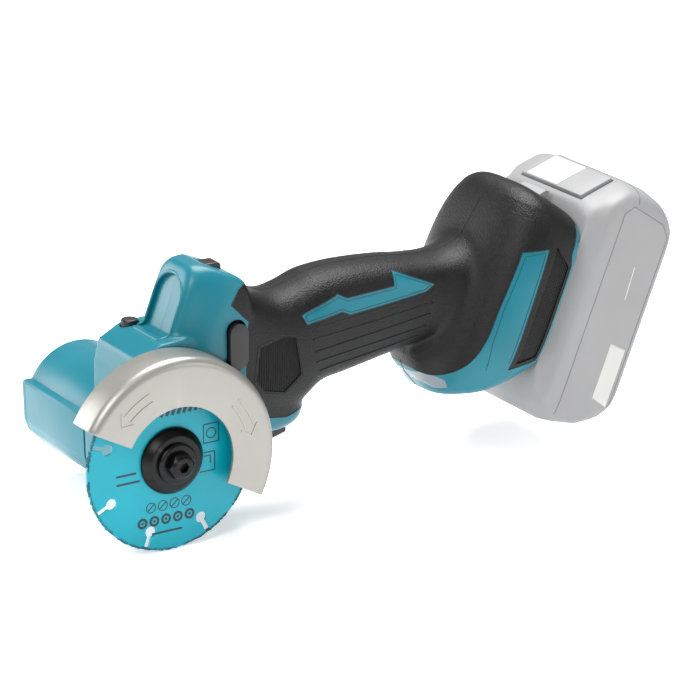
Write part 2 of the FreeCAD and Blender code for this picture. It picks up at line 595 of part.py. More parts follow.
def make_gear_housing():
    y0 = D["head_front_y"]
    cup_radius = 12.5
    neck = ring(D["neck_radius"], 7.0, y0 - 5.1, y0 - 0.1)
    cup = cylinder(cup_radius, y0 - 0.1, 20.0)
    side = cylinder(21.7, 18.6, 37.0, MOTOR_X, MOTOR_Z).fuse(cylinder(cup_radius, 18.6, 37.0))
    room = cylinder(19.6, 20.0, 30.0, MOTOR_X, MOTOR_Z).fuse(cylinder(10.6, 20.0, 30.0))
    body = join([neck, cup, side.cut(room)])
    body = body.cut(cylinder(7.0, y0 - 6.0, 12.1))
    body = body.cut(cylinder(9.0, 17.9, 20.1))
    body = body.cut(cylinder(11.0, 12.0, 18.0))
    body = body.cut(cylinder(6.0, 29.0, 35.0))
    body = body.cut(cylinder(5.2, 34.0, 38.0))
    body = body.cut(cylinder(3.2, 29.0, 38.0, MOTOR_X, MOTOR_Z))
    body = body.cut(Part.makeCylinder(1.8, 14.0, V(5.0, 24.5, 8.0), V(0, 0, 1)))
    solid("gear_housing", biggest(body))
    seat = ring(21.7, 8.0, 37.0, 43.4, MOTOR_X, MOTOR_Z)
    seat = seat.cut(ring(20.0, 10.4, 38.6, 44.0, MOTOR_X, MOTOR_Z))
    solid("motor_bracket", seat)
    outline = [(12, 25), (-8, 27.2), (-26, 22), (-38, 44), (-20, 62), (12, 70), (22, 50), (23, 24)]
    plate = ring(41.4, 28.4, y0 - 1.4, y0).common(prism(outline, y0 - 3, y0 + 1))
    plate = biggest(plate)
    heads = []
    for t in (64, 90, 112):
        a = 35.0 * math.cos(math.radians(t))
        b = 35.0 * math.sin(math.radians(t))
        plate = plate.cut(cylinder(2.3, y0 - 2.0, y0 + 1.0, a, b))
        head = cylinder(2.2, y0 - 1.2, y0, a, b)
        heads.append(head.cut(cylinder(1.0, y0 - 3, y0 - 0.5, a, b)))
    solid("gear_cover_plate", plate)
    solid("cover_screws", Part.makeCompound(heads))


# ---------------------------------------------------------------- controls
def make_controls():
    # Finger trigger under the grip, carried by the switch stem.
    profile = [(44.4, -10.4), (50.0, -11.4), (59.0, -10.6), (66.6, -8.6), (66.6, 6.0), (44.4, 6.0)]
    trigger = prism(profile, 21.2, 32.8)
    rim = [e for e in trigger.Edges if abs(e.BoundBox.YMax - e.BoundBox.YMin) < 0.01
           and e.BoundBox.ZMax < -7.0]
    trigger = trigger.makeFillet(1.6, rim)
    trigger = trigger.cut(box(47.0, 64.6, 23.0, 31.0, -4.0, 7.0))
    solid("trigger", trigger)
    coil = spring_shape(3.0, 0.5, 15.0, 7)
    solid("trigger_spring", coil, 57.8, 27.0, -3.3, 0.0)
    body = box(44.0, 71.0, 18.0, 36.0, 13.0, 31.0)
    stem = Part.makeCylinder(1.6, 13.8, V(57.8, 27.0, -0.6), V(0, 0, 1))
    lugs = box(46.0, 50.0, 19.0, 35.0, 31.0, 34.0).fuse(box(64.0, 68.0, 19.0, 35.0, 31.0, 34.0))
    arm = box(28.6, 46.0, 21.0, 33.0, 42.8, 44.2).fuse(box(44.2, 46.0, 21.0, 33.0, 30.0, 44.2))
    solid("switch_body", join([body, stem, lugs, arm]))
    # Lock-off button on top of the head.
    cap = box(29.6, 37.4, 22.8, 31.2, 58.0, 70.4)
    top = [e for e in cap.Edges if abs(e.BoundBox.ZMin - 70.4) < 0.01 and abs(e.BoundBox.ZMax - 70.4) < 0.01]
    cap = cap.makeFillet(1.4, top)
    flange = box(26.6, 39.4, 20.6, 33.4, 56.6, 58.0)
    solid("lock_off_button", join([cap, flange]))
    solid("lock_off_spring", spring_shape(3.2, 0.5, 11.2, 5), 33.0, 27.0, 44.8)
    # Forward and reverse lever: a bar through the head, with a pill-shaped key on the near side.
    pill = pill_shape(35.8, 39.3, 4.2, 9.6, 5.6, 10.6)
    bar = box(33.2, 38.4, 10.4, 39.0, 36.6, 42.0)
    solid("direction_lever", join([pill, bar]))
    recess = pill_shape(35.8, 39.3, 4.75, 10.85, 12.8, 16.0)
    recess = recess.cut(box(32.8, 38.8, 10.0, 45.0, 36.2, 42.4))
    solid("lever_bezel", recess)
    # Shaft lock: a push button on the gear case's top, its bar and pin over the gear.
    knob = Part.makeCylinder(3.6, 3.3, V(5.0, 41.2, 43.6), V(0, 0, 1))
    edge = [e for e in knob.Edges if abs(e.BoundBox.ZMin - 46.9) < 0.01]
    knob = knob.makeFillet(1.1, edge)
    stem = Part.makeCylinder(1.8, 10.0, V(5.0, 41.2, 34.0), V(0, 0, 1))
    bar = box(2.4, 7.6, 21.8, 44.0, 33.4, 36.4)
    pin = Part.makeCylinder(1.6, 23.4, V(5.0, 24.5, 10.2), V(0, 0, 1))
    solid("shaft_lock_button", join([knob, stem, bar, pin]))
    solid("shaft_lock_spring", spring_shape(2.4, 0.45, 14.8, 8), 5.0, 34.0, 17.9)


def spring_shape(radius, wire, length, turns):
    """An open coil along +Z from its own zero point."""
    helix = Part.makeHelix(length / turns, length, radius)
    start = V(radius, 0, 0)
    circle = Part.Wire([Part.makeCircle(wire, start, V(0, 1, 0))])
    return Part.Wire(helix).makePipeShell([circle], True, True)


def pill_shape(x, z, half, half_height, y0, y1):
    straight = half_height - half
    body = box(x - half, x + half, y0, y1, z - straight, z + straight)
    return join([body, cylinder(half, y0, y1, x, z + straight), cylinder(half, y0, y1, x, z - straight)])


# ---------------------------------------------------------------- electrics
def make_electrics():
    tray = box(88.0, 130.0, 17.0, 37.0, 29.0, 39.0).cut(box(89.4, 128.6, 18.4, 35.6, 30.4, 40.0))
    solid("board_tray", tray)
    board = box(89.7, 128.3, 18.7, 35.3, 31.0, 32.6)
    parts = [board]
    for i in range(3):
        for j in range(2):
            parts.append(box(91 + 8 * i, 97 + 8 * i, 20 + 8 * j, 26 + 8 * j, 32.6, 34.4))
    for j in range(2):
        parts.append(Part.makeCylinder(3.8, 12.0, V(122.0, 22.8 + 8.4 * j, 32.6), V(0, 0, 1)))
    solid("control_board", join(parts))
    block = tilted_box(-27.0, -17.0, 27 - 20.0, 27 + 20.0, 8.0, 26.0)
    solid("terminal_block", block)
    blades = []
    for y in (27 - 13.0, 27 + 13.0):
        blades.append(tilted_box(-17.0, -9.0, y - 0.4, y + 0.4, 11.0, 22.0))
    for y in (27 - 4.0, 27 + 0.0, 27 + 4.0):
        blades.append(tilted_box(-17.0, -10.0, y - 0.4, y + 0.4, 13.0, 20.0))
    solid("terminal_blades", Part.makeCompound(blades))
    lens = tilted_prism([(-36.6, -14.4), (-26.4, -14.4), (-26.4, -26.0), (-30.0, -27.4), (-36.6, -21.0)],
                        27 - 8.6, 27 + 8.6)
    lens = lens.cut(tilted_box(-34.6, -28.4, 27 - 7.0, 27 + 7.0, -20.6, -14.0))
    solid("lamp_lens", lens)
    lamp = tilted_box(-34.2, -28.8, 27 - 6.0, 27 + 6.0, -16.4, -14.6)
    dome_x, dome_z = tilted(-31.5, -16.4)
    dome = Part.makeSphere(2.2, V(dome_x, 27.0, dome_z))
    solid("led_lamp", join([lamp, dome]))


def make_screws():
    """Case screws on the far side, heads in line with the shell's face."""
    heads = []
    for x, z, y in SCREW_SPOTS:
        head = cylinder(2.8, y, y + 1.2, x, z)
        heads.append(head.cut(cylinder(1.3, y + 0.5, y + 2, x, z)))
    solid("case_screws", Part.makeCompound(heads))


# ---------------------------------------------------------------- battery
BATTERY_SIDE = [(0.4, -5.0), (6.0, -16.0), (11.3, -20.7), (15.0, -24.4), (19.0, -25.6), (30.0, -24.4),
                (40.5, -19.6), (44.0, -15.4), (45.0, -11.0), (45.0, 71.0), (43.6, 75.6), (40.0, 79.6),
                (31.0, 83.6), (22.0, 84.6),
                (17.0, 84.0), (1.0, 70.5)]


def slope_prism(s0, s1, t0, t1, y0, y1):
    """A block on the battery's sloping top: s runs up the slope, t goes into the case."""
    corners = []
    for s, t in ((s0, t0), (s1, t0), (s1, t1), (s0, t1)):
        corners.append((1.0 + 0.764 * s + 0.645 * t, 70.5 + 0.645 * s - 0.764 * t))
    return tilted_prism(corners, y0, y1)


BATTERY_ROOM = [(4.6, -9.0), (8.0, -14.5), (16.0, -22.0), (30.0, -21.5), (40.0, -16.5), (42.9, -11.0),
                (42.9, 74.0), (38.0, 78.6), (24.0, 80.5), (17.8, 76.9), (3.4, 65.4)]


def make_battery():
    half = D["battery_half"]
    mid = D["parting_y"]
    low = mid - half
    high = mid + half
    case = tilted_prism(BATTERY_SIDE, low, high)
    edges = [e for e in case.Edges if abs(e.BoundBox.YMax - e.BoundBox.YMin) < 0.01]
    case = case.makeChamfer(2.5, edges)
    room = tilted_prism(BATTERY_ROOM, mid - 34.6, mid + 34.6)
    case = case.cut(room)
    seat = slope_prism(1.5, 19.5, -2.0, 4.4, mid - 22.4, mid + 22.4)
    case = case.cut(seat)
    front = case.common(tilted_box(-2.0, 22.0, low - 1, high + 1, -40, 100))
    rear = case.common(tilted_box(22.0, 60.0, low - 1, high + 1, -40, 100))
    rail = tilted_box(-D["rail_depth"], -7.2, mid - D["rail_half"], mid + D["rail_half"], -2.0, 66.0)
    neck = tilted_box(-7.4, 1.5, mid - D["rail_neck"], mid + D["rail_neck"], -2.0, 66.0)
    rails = rail.fuse(neck).cut(tilted_box(-15.0, -1.0, mid - 17.0, mid + 17.0, -3.0, 26.0))
    front = front.fuse(rails).removeSplitter()
    solid("battery_case_front", biggest(front))
    solid("battery_case_rear", biggest(rear))
    cells = []
    caps = []
    for i in range(5):
        for j in range(2):
            n = 15.5 + 18.2 * j
            u = -9.1 + 18.15 * i
            x, z = tilted(n, u)
            y0 = mid - D["cell_length"] / 2
            cells.append(cylinder(D["cell_radius"], y0, y0 + D["cell_length"], x, z))
            caps.append(cylinder(3.0, y0 - 0.8, y0, x, z))
    solid("battery_cells", Part.makeCompound(cells + caps))
    board = tilted_box(21.0, 38.0, mid - 30.0, mid + 30.0, 76.4, 77.9)
    solid("battery_board", board)
    button = slope_prism(2.0, 19.0, -0.4, 2.4, mid - 21.8, mid + 21.8)
    solid("battery_release_button", button)
    hook = tilted_prism([(-8.0, 66.0), (-3.0, 66.0), (-3.0, 69.0), (-5.0, 69.0)], mid - 8.0, mid + 8.0)
    solid("battery_latch", hook)


# ---------------------------------------------------------------- build and write
make_wheel()
make_flanges()
make_spindle()
make_gears()
make_bearings()
make_rotor()
make_stator()
make_guard()
make_housing()
make_motor_housing()
make_gear_housing()
make_controls()
make_electrics()
make_screws()
make_battery()
doc.recompute()

for obj in doc.Objects:
    if "Invalid" in obj.State or "Error" in obj.State:
        raise ValueError(obj.Label + " has state " + str(obj.State))
os.makedirs("parts", exist_ok=True)
for obj in NODES:
    shape = obj.Shape
    if shape.isNull() or not shape.isValid():
        raise ValueError(obj.Label + " has no valid shape")
    shape.exportStep("parts/" + obj.Label + ".step")
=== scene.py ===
"""Looks for the cordless compact cut-off saw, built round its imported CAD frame."""
import json
import math

import bmesh
import bpy
import numpy as np
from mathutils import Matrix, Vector
from mathutils.bvhtree import BVHTree


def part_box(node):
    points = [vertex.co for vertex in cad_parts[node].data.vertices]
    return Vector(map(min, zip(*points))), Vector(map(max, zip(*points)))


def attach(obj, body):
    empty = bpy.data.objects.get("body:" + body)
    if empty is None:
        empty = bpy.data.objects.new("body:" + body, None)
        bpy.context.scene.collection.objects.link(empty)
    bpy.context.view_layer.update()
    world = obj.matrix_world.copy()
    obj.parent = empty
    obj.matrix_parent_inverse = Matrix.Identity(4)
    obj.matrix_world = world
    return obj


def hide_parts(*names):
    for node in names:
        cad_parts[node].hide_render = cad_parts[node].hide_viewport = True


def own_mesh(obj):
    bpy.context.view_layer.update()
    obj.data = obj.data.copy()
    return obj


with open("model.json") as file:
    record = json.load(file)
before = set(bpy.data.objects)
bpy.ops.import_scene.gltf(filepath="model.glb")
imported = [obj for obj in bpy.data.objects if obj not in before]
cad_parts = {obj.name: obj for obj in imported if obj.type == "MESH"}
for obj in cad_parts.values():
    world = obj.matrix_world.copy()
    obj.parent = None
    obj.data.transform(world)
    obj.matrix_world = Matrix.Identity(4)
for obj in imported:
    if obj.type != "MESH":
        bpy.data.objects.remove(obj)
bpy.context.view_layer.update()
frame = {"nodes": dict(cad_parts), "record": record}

# Design coordinates are millimetres from the wheel's centre: X to the battery,
# Y from the wheel into the machine, Z up. The frame tells where that centre is.
MM = 0.001
low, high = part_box("cutting_wheel")
HUB = (low + high) / 2
SLIDE = math.radians(22.3)      # the battery's slide leans back this far from upright
FOOT_X, FOOT_Z = 173.2, 10.5    # zero point of the foot's own coordinates
MIDDLE = 27.0                   # parting plane of the case
MOTOR_X, MOTOR_Z, MOTOR_R = 10.95, -4.9, 24.4
HEAD_NEAR, HEAD_FAR = 10.0, 46.0    # the head block's two side faces


def at(x, y, z):
    """Design coordinates to a place in the frame."""
    return HUB + Vector((x, y, z)) * MM


def tilted(n, u):
    """Foot coordinates (n rearward, u up the slide) to design X and Z."""
    x = FOOT_X + n * math.cos(SLIDE) + u * math.sin(SLIDE)
    z = FOOT_Z - n * math.sin(SLIDE) + u * math.cos(SLIDE)
    return x, z


# ------------------------------------------------------------------ materials
def linear(red, green, blue):
    """Screen colour (0 to 255) to the renderer's linear colour."""
    return tuple((c / 255) ** 2.2 for c in (red, green, blue)) + (1.0,)


def surface(name, color, rough=0.5, metal=0.0, grain=900.0, bump=0.1, vary=0.1, wear=0.15,
            coat=0.0, distance=0.0002, ribs=None, clear=0.0, emission=0.0, gloss=0.5):
    """A procedural finish: mottled colour, uneven roughness, fine grain and rubbed edges."""
    mat = bpy.data.materials.new(name)
    mat.use_nodes = True
    tree = mat.node_tree
    tree.nodes.clear()
    add = tree.nodes.new
    wire = tree.links.new
    out = add("ShaderNodeOutputMaterial")
    shader = add("ShaderNodeBsdfPrincipled")
    wire(shader.outputs["BSDF"], out.inputs["Surface"])
    shader.inputs["Metallic"].default_value = metal
    shader.inputs["Specular IOR Level"].default_value = gloss
    shader.inputs["Coat Weight"].default_value = coat
    shader.inputs["Coat Roughness"].default_value = 0.12
    shader.inputs["Transmission Weight"].default_value = clear
    if emission:
        shader.inputs["Emission Color"].default_value = color
        shader.inputs["Emission Strength"].default_value = emission
    place = add("ShaderNodeTexCoord")

    def noise(scale, detail):
        """Cloudy noise fixed to the piece."""
        node = add("ShaderNodeTexNoise")
        node.inputs["Scale"].default_value = scale
        node.inputs["Detail"].default_value = detail
        wire(place.outputs["Object"], node.inputs["Vector"])
        return node

    def mixed(fac, a, b):
        """A blend of two colours or sockets."""
        node = add("ShaderNodeMix")
        node.data_type = "RGBA"
        wire(fac, node.inputs["Factor"])
        for socket, value in ((node.inputs["A"], a), (node.inputs["B"], b)):
            if isinstance(value, tuple):
                socket.default_value = value
            else:
                wire(value, socket)
        return node.outputs["Result"]

    def ranged(value, low, high, to_low, to_high):
        """A value moved from one range to another."""
        node = add("ShaderNodeMapRange")
        for key, number in (("From Min", low), ("From Max", high), ("To Min", to_low), ("To Max", to_high)):
            node.inputs[key].default_value = number
        wire(value, node.inputs["Value"])
        return node.outputs["Result"]

    dark = tuple(c * (1 - vary) for c in color[:3]) + (1.0,)
    light = tuple(min(1.0, c * (1 + vary) + 0.004 * vary) for c in color[:3]) + (1.0,)
    broad = noise(38.0, 4.0)
    tone = mixed(ranged(broad.outputs["Fac"], 0.35, 0.65, 0.0, 1.0), dark, light)
    if wear:
        geometry = add("ShaderNodeNewGeometry")
        edge = ranged(geometry.outputs["Pointiness"], 0.52, 0.60, 0.0, wear)
        rubbed = tuple(min(1.0, c * 1.5 + 0.06) for c in color[:3]) + (1.0,)
        tone = mixed(edge, tone, rubbed)
    wire(tone, shader.inputs["Base Color"])
    fine = noise(grain, 2.0)
    wire(ranged(broad.outputs["Fac"], 0.3, 0.7, max(0.03, rough - 0.06), min(1.0, rough + 0.06)),
         shader.inputs["Roughness"])
    height = fine.outputs["Fac"]
    if ribs:
        direction, period = ribs
        wave = add("ShaderNodeTexWave")
        wave.bands_direction = "X"
        wave.inputs["Scale"].default_value = 0.3142 / (period * MM)
        turn = add("ShaderNodeMapping")
        turn.inputs["Rotation"].default_value = (0.0, direction, 0.0)
        wire(place.outputs["Object"], turn.inputs["Vector"])
        wire(turn.outputs["Vector"], wave.inputs["Vector"])
        height = wave.outputs["Fac"]
    bumper = add("ShaderNodeBump")
    bumper.inputs["Strength"].default_value = bump
    bumper.inputs["Distance"].default_value = distance
    wire(height, bumper.inputs["Height"])
    wire(bumper.outputs["Normal"], shader.inputs["Normal"])
    return mat


TEAL = linear(4, 106, 121)
MATS = {
    "teal_plastic": surface("teal_plastic", TEAL, 0.38, grain=1600, bump=0.06, vary=0.05, wear=0.2, coat=0.04,
                            gloss=0.4),
    "black_rubber": surface("black_rubber", linear(11, 11, 12), 0.42, grain=1500, bump=0.8, vary=0.16,
                            wear=0.10, distance=0.00035, gloss=0.3),
    "ribbed_rubber": surface("ribbed_rubber", linear(13, 13, 14), 0.55, bump=0.9, vary=0.12, wear=0.05,
                             ribs=(0.0, 1.1), distance=0.00045, gloss=0.25),
    "ribbed_panel": surface("ribbed_panel", linear(13, 13, 14), 0.5, bump=0.8, vary=0.12, wear=0.05,
                            ribs=(SLIDE, 1.0), distance=0.0004, gloss=0.25),
    "black_plastic": surface("black_plastic", linear(17, 17, 19), 0.42, grain=1500, bump=0.12, vary=0.12),
    "screw_steel": surface("screw_steel", linear(72, 72, 74), 0.38, 1.0, bump=0.08),
    "gear_case_metal": surface("gear_case_metal", linear(58, 58, 60), 0.45, 0.85, grain=700, bump=0.35),
    "guard_metal": surface("guard_metal", linear(148, 147, 142), 0.36, 0.6, grain=2600, bump=0.10, vary=0.035,
                           wear=0.12),
    "wheel_cyan": surface("wheel_cyan", linear(0, 148, 166), 0.34, grain=1400, bump=0.10, vary=0.06, wear=0.0,
                          coat=0.05, gloss=0.3),
    "wheel_grit": surface("wheel_grit", linear(16, 96, 112), 0.75, grain=1100, bump=1.0, vary=0.5, wear=0.0,
                          distance=0.0006),
    "black_steel": surface("black_steel", linear(22, 22, 23), 0.33, 0.6, grain=900, bump=0.10, vary=0.2,
                           wear=0.25),
    "bright_steel": surface("bright_steel", linear(178, 178, 180), 0.3, 1.0, bump=0.06),
    "spring_steel": surface("spring_steel", linear(165, 165, 168), 0.28, 1.0, bump=0.03),
    "core_steel": surface("core_steel", linear(110, 110, 114), 0.45, 1.0, bump=0.3, ribs=(0.0, 0.8)),
    "magnet": surface("magnet", linear(150, 150, 152), 0.25, 1.0, bump=0.04),
    "copper": surface("copper", linear(190, 108, 62), 0.3, 0.9, bump=0.6, ribs=(0.4, 0.7)),
    "board_green": surface("board_green", linear(24, 92, 50), 0.35, bump=0.1, vary=0.25),
    "lens_clear": surface("lens_clear", linear(150, 162, 168), 0.08, grain=420, bump=0.5, vary=0.02, wear=0.0,
                          distance=0.0006, clear=0.4),
    "lamp_white": surface("lamp_white", linear(250, 246, 220), 0.25, bump=0.05, vary=0.04, emission=0.3),
    "battery_grey": surface("battery_grey", linear(139, 139, 140), 0.45, grain=1900, bump=0.10, vary=0.03,
                            wear=0.25),
    "cell_wrap": surface("cell_wrap", linear(60, 105, 150), 0.3, bump=0.04),
    "label_white": surface("label_white", linear(204, 204, 201), 0.3, grain=1200, bump=0.04, vary=0.02,
                           wear=0.0, coat=0.3),
    "print_dark": surface("print_dark", linear(22, 48, 58), 0.5, bump=0.05, vary=0.1, wear=0.0),
    "seam_dark": surface("seam_dark", linear(4, 44, 54), 0.6, bump=0.05, vary=0.1, wear=0.0),
    "grey_line": surface("grey_line", linear(112, 112, 114), 0.5, grain=2000, bump=0.1, vary=0.05, wear=0.0),
    "cavity_dark": surface("cavity_dark", linear(16, 16, 17), 0.7, bump=0.1, vary=0.1, wear=0.0),
}


# ------------------------------------------------------------------ mesh helpers
def finish_mesh(bm, name, body, mats, smooth=True, replace=()):
    """Make a mesh into a visual piece that rides on a body and may stand for CAD nodes."""
    mesh = bpy.data.meshes.new(name)
    bm.to_mesh(mesh)
    bm.free()
    for mat in mats:
        mesh.materials.append(MATS[mat])
    mesh.polygons.foreach_set("use_smooth", [smooth] * len(mesh.polygons))
    piece = bpy.data.objects.new(name, mesh)
    bpy.context.scene.collection.objects.link(piece)
    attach(piece, body)
    if replace:
        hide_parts(*replace)
    return piece


def applied(bm, name, settings):
    """Run modifiers over a mesh and give back the result as a new bmesh."""
    mesh = bpy.data.meshes.new(name)
    bm.to_mesh(mesh)
    bm.free()
    temp = bpy.data.objects.new(name, mesh)
    bpy.context.scene.collection.objects.link(temp)
    for kind, values in settings:
        modifier = temp.modifiers.new(kind.lower(), kind)
        for key, value in values.items():
            setattr(modifier, key, value)
    view = bpy.context.evaluated_depsgraph_get()
    result = bpy.data.meshes.new_from_object(temp.evaluated_get(view))
    bm = bmesh.new()
    bm.from_mesh(result)
    bpy.data.objects.remove(temp)
    bpy.data.meshes.remove(mesh)
    bpy.data.meshes.remove(result)
    return bm


def cutter_from(bm, name):
    """Give a closed mesh an object of its own to cut with."""
    bmesh.ops.recalc_face_normals(bm, faces=bm.faces)
    mesh = bpy.data.meshes.new(name)
    bm.to_mesh(mesh)
    bm.free()
    cutter = bpy.data.objects.new(name, mesh)
    bpy.context.scene.collection.objects.link(cutter)
    return cutter


def carved(bm, name, operation, cutter):
    """Combine a mesh with a cutter and use the cutter up."""
    bm = applied(bm, name, [("BOOLEAN", {"operation": operation, "object": cutter, "solver": "EXACT"})])
    bpy.data.objects.remove(cutter)
    return bm


def crisp(bm, degrees):
    """Split the edges that turn more than an angle, so that they shade as corners."""
    limit = math.radians(degrees)
    sharp = [e for e in bm.edges if len(e.link_faces) == 2 and e.calc_face_angle(0.0) > limit]
    bmesh.ops.split_edges(bm, edges=sharp)


def circle_points(a, b, radius, count):
    """Points round a circle in any flat pair of coordinates."""
    return [(a + radius * math.cos(t), b + radius * math.sin(t))
            for t in np.linspace(0, 2 * math.pi, count + 1)[:-1]]


def rows_to_mesh(bm, rows):
    """Skin closed rows of points and cap both ends."""
    rings = [[bm.verts.new(p) for p in row] for row in rows]
    for a, b in zip(rings, rings[1:]):
        count = len(a)
        for i in range(count):
            j = (i + 1) % count
            bm.faces.new((a[i], a[j], b[j], b[i]))
    bm.faces.new(list(reversed(rings[0])))
    bm.faces.new(rings[-1])


def prism(bm, outline, y0, y1):
    """Close an X-Z outline between two Y stations."""
    near = [at(x, y0, z) for x, z in outline]
    far = [at(x, y1, z) for x, z in outline]
    rows_to_mesh(bm, [near, far])


def block(bm, corners):
    """A block from eight design corners: four below, then four above."""
    verts = [bm.verts.new(at(*c)) for c in corners]
    for face in ((3, 2, 1, 0), (4, 5, 6, 7), (0, 1, 5, 4), (1, 2, 6, 5), (2, 3, 7, 6), (3, 0, 4, 7)):
        bm.faces.new([verts[i] for i in face])


def upright_block(bm, x_range, y_range, z_range):
    """A block along the design axes."""
    (x0, x1), (y0, y1) = x_range, y_range
    block(bm, [(x, y, z) for z in z_range for x, y in ((x0, y0), (x1, y0), (x1, y1), (x0, y1))])


def slide_prism(bm, outline, u0, u1):
    """Close an outline (rearward, sideways from the middle) between two heights up the slide."""
    rows = []
    for u in (u0, u1):
        spots = [tilted(n, u) + (y,) for n, y in outline]
        rows.append([at(x, MIDDLE + y, z) for x, z, y in spots])
    rows_to_mesh(bm, rows)


def tilted_block(bm, n0, n1, y0, y1, u0, u1):
    """A block along the foot's own coordinates."""
    corners = []
    for u in (u0, u1):
        for n, y in ((n0, y0), (n1, y0), (n1, y1), (n0, y1)):
            x, z = tilted(n, u)
            corners.append((x, y, z))
    block(bm, corners)


def between_rows(stations, steps):
    """Smooth extra stations between the given ones (Catmull-Rom)."""
    data = np.array(stations, float)
    out = []
    last = len(data) - 1
    for i in range(last):
        p0, p1, p2, p3 = (data[max(i - 1, 0)], data[i], data[i + 1], data[min(i + 2, last)])
        for k in range(steps):
            t = k / steps
            out.append(0.5 * (2 * p1 + (p2 - p0) * t + (2 * p0 - 5 * p1 + 4 * p2 - p3) * t * t
                              + (3 * p1 - p0 - 3 * p2 + p3) * t ** 3))
    out.append(data[-1])
    return out


def oval(half, low, high, power, count=72):
    """Rounded-rectangle offsets (side, height)."""
    points = []
    for i in range(count):
        t = 2 * math.pi * (i + 0.5) / count
        c, s = math.cos(t), math.sin(t)
        points.append((half * math.copysign(abs(c) ** (2 / power), c),
                       (low + high) / 2 + (high - low) / 2 * math.copysign(abs(s) ** (2 / power), s)))
    return points


# ------------------------------------------------------------------ the moulded case
# Sections of the grip and the gear collar: x, lowest z, highest z, half width, squareness.
# Sections of the foot: n, lowest u, highest u, half width, squareness.
HANDLE = [(31.0, 2.0, 68.8, 18.2, 3.6), (40.0, -1.0, 64.4, 19.6, 3.2), (50.0, 0.0, 57.2, 19.6, 3.0),
          (60.0, 2.0, 53.6, 19.2, 2.8), (70.0, 3.4, 55.4, 19.0, 2.7), (80.0, 11.0, 58.5, 19.0, 2.7),
          (92.0, 13.4, 59.6, 19.0, 2.7), (104.0, 15.6, 59.4, 19.0, 2.7), (118.0, 18.0, 58.4, 18.6, 2.7),
          (132.0, 19.6, 56.8, 18.0, 2.6), (146.0, 17.0, 57.0, 18.6, 2.5), (156.0, 10.0, 61.0, 21.0, 2.5),
          (163.0, 4.0, 66.0, 23.0, 2.5)]
FOOT = [(-46.0, -14.0, -4.0, 10.0, 2.4), (-40.0, -21.0, 6.0, 16.0, 2.6), (-33.0, -25.0, 48.0, 23.0, 2.8),
        (-28.5, -27.0, 63.0, 30.0, 3.0), (-22.0, -25.0, 68.6, 34.5, 3.4), (-14.0, -20.5, 67.6, 36.6, 4.0),
        (-6.0, -13.0, 65.4, 37.2, 4.4), (0.0, -7.0, 63.6, 37.2, 4.4)]
HEAD_BLOCK = [(-15.0, 5.6), (-14.6, -10.6), (-12.9, -15.6), (-6.0, -23.0), (2.0, -27.6), (12.0, -29.2),
              (24.0, -26.0), (33.0, -17.0), (44.0, -8.5), (50.0, 6.0), (50.0, 20.0), (40.0, 40.0),
              (14.0, 45.6), (2.5, 44.8), (-7.4, 39.6), (-9.5, 31.0), (-10.5, 6.6), (-14.2, 6.6)]
COLLAR = [(38.0, -14.0, 22.0, 17.0, 3.0), (46.0, -8.4, 22.0, 17.0, 3.0), (54.0, -6.4, 20.0, 16.2, 2.8),
          (62.0, -6.6, 16.0, 14.6, 2.6), (69.0, -5.6, 11.0, 11.8, 2.4), (74.0, -2.8, 7.4, 7.6, 2.2),
          (76.4, 0.0, 4.4, 3.2, 2.0)]
# The head above the gear case in level slices: z, front x, rear x, front half width, rear half width.
HEAD_SLICES = [(34.0, 4.8, 46.0, 13.0, 19.4), (42.0, 7.9, 46.0, 13.0, 19.2), (52.0, 11.8, 45.0, 13.0, 18.8),
               (60.0, 14.9, 44.0, 13.0, 18.0), (65.5, 17.0, 41.0, 12.6, 16.6), (69.0, 18.6, 33.6, 11.4, 14.2),
               (71.2, 20.2, 29.0, 9.4, 11.4), (72.2, 21.6, 26.8, 7.0, 8.4)]


def head_rows():
    """Level slices of the head with softened corners."""
    rows = []
    for z, front, rear, half_front, half_rear in between_rows(HEAD_SLICES, 4):
        row = []
        corner = min(3.2, (rear - front) * 0.3)
        outline = [(front, -half_front), (front + 6.5, -half_front - 2.0), (front + 15.0, -half_rear),
                   (rear, -half_rear), (rear, half_rear), (front + 15.0, half_rear),
                   (front + 6.5, half_front + 2.0), (front, half_front)]
        outline = [(min(x, rear), y) for x, y in outline]
        count = len(outline)
        for i, (x, y) in enumerate(outline):
            ax, ay = outline[i - 1]
            bx, by = outline[(i + 1) % count]
            for ox, oy in ((ax, ay), (bx, by)):
                span = math.hypot(ox - x, oy - y) or 1.0
                k = min(0.45, corner / span)
                row.append(at(x + (ox - x) * k, MIDDLE + y + (oy - y) * k, z))
            between = row[-1].lerp(row[-2], 0.5)
            row.insert(-1, at(x, MIDDLE + y, z).lerp(between, 0.5))
        rows.append(row)
    return rows


def case_solid():
    """Every outer volume of the case in one mesh, not yet blended."""
    bm = bmesh.new()
    for stations in (HANDLE, COLLAR):
        rows = []
        for x, low, high, half, power in between_rows(stations, 5):
            rows.append([at(x, MIDDLE + a, b) for a, b in oval(half, low, high, power)])
        rows_to_mesh(bm, rows)
    rows = []
    for n, low, high, half, power in between_rows(FOOT, 5):
        row = []
        for a, b in oval(half, low, high, power):
            x, z = tilted(n, b)
            row.append(at(x, MIDDLE + a, z))
        rows.append(row)
    rows_to_mesh(bm, rows)
    rows_to_mesh(bm, head_rows())
    prism(bm, HEAD_BLOCK, HEAD_NEAR, HEAD_FAR)
    prism(bm, circle_points(MOTOR_X, MOTOR_Z, MOTOR_R, 96), HEAD_NEAR, HEAD_FAR)
    bmesh.ops.recalc_face_normals(bm, faces=bm.faces)
    return bm


def smoothed(bm, region, times, factor=0.5):
    """Relax the points of a region again and again."""
    verts = [v for v in bm.verts if region(v.co)]
    for _ in range(times):
        bmesh.ops.smooth_vert(bm, verts=verts, factor=factor,
                              use_axis_x=True, use_axis_y=True, use_axis_z=True)


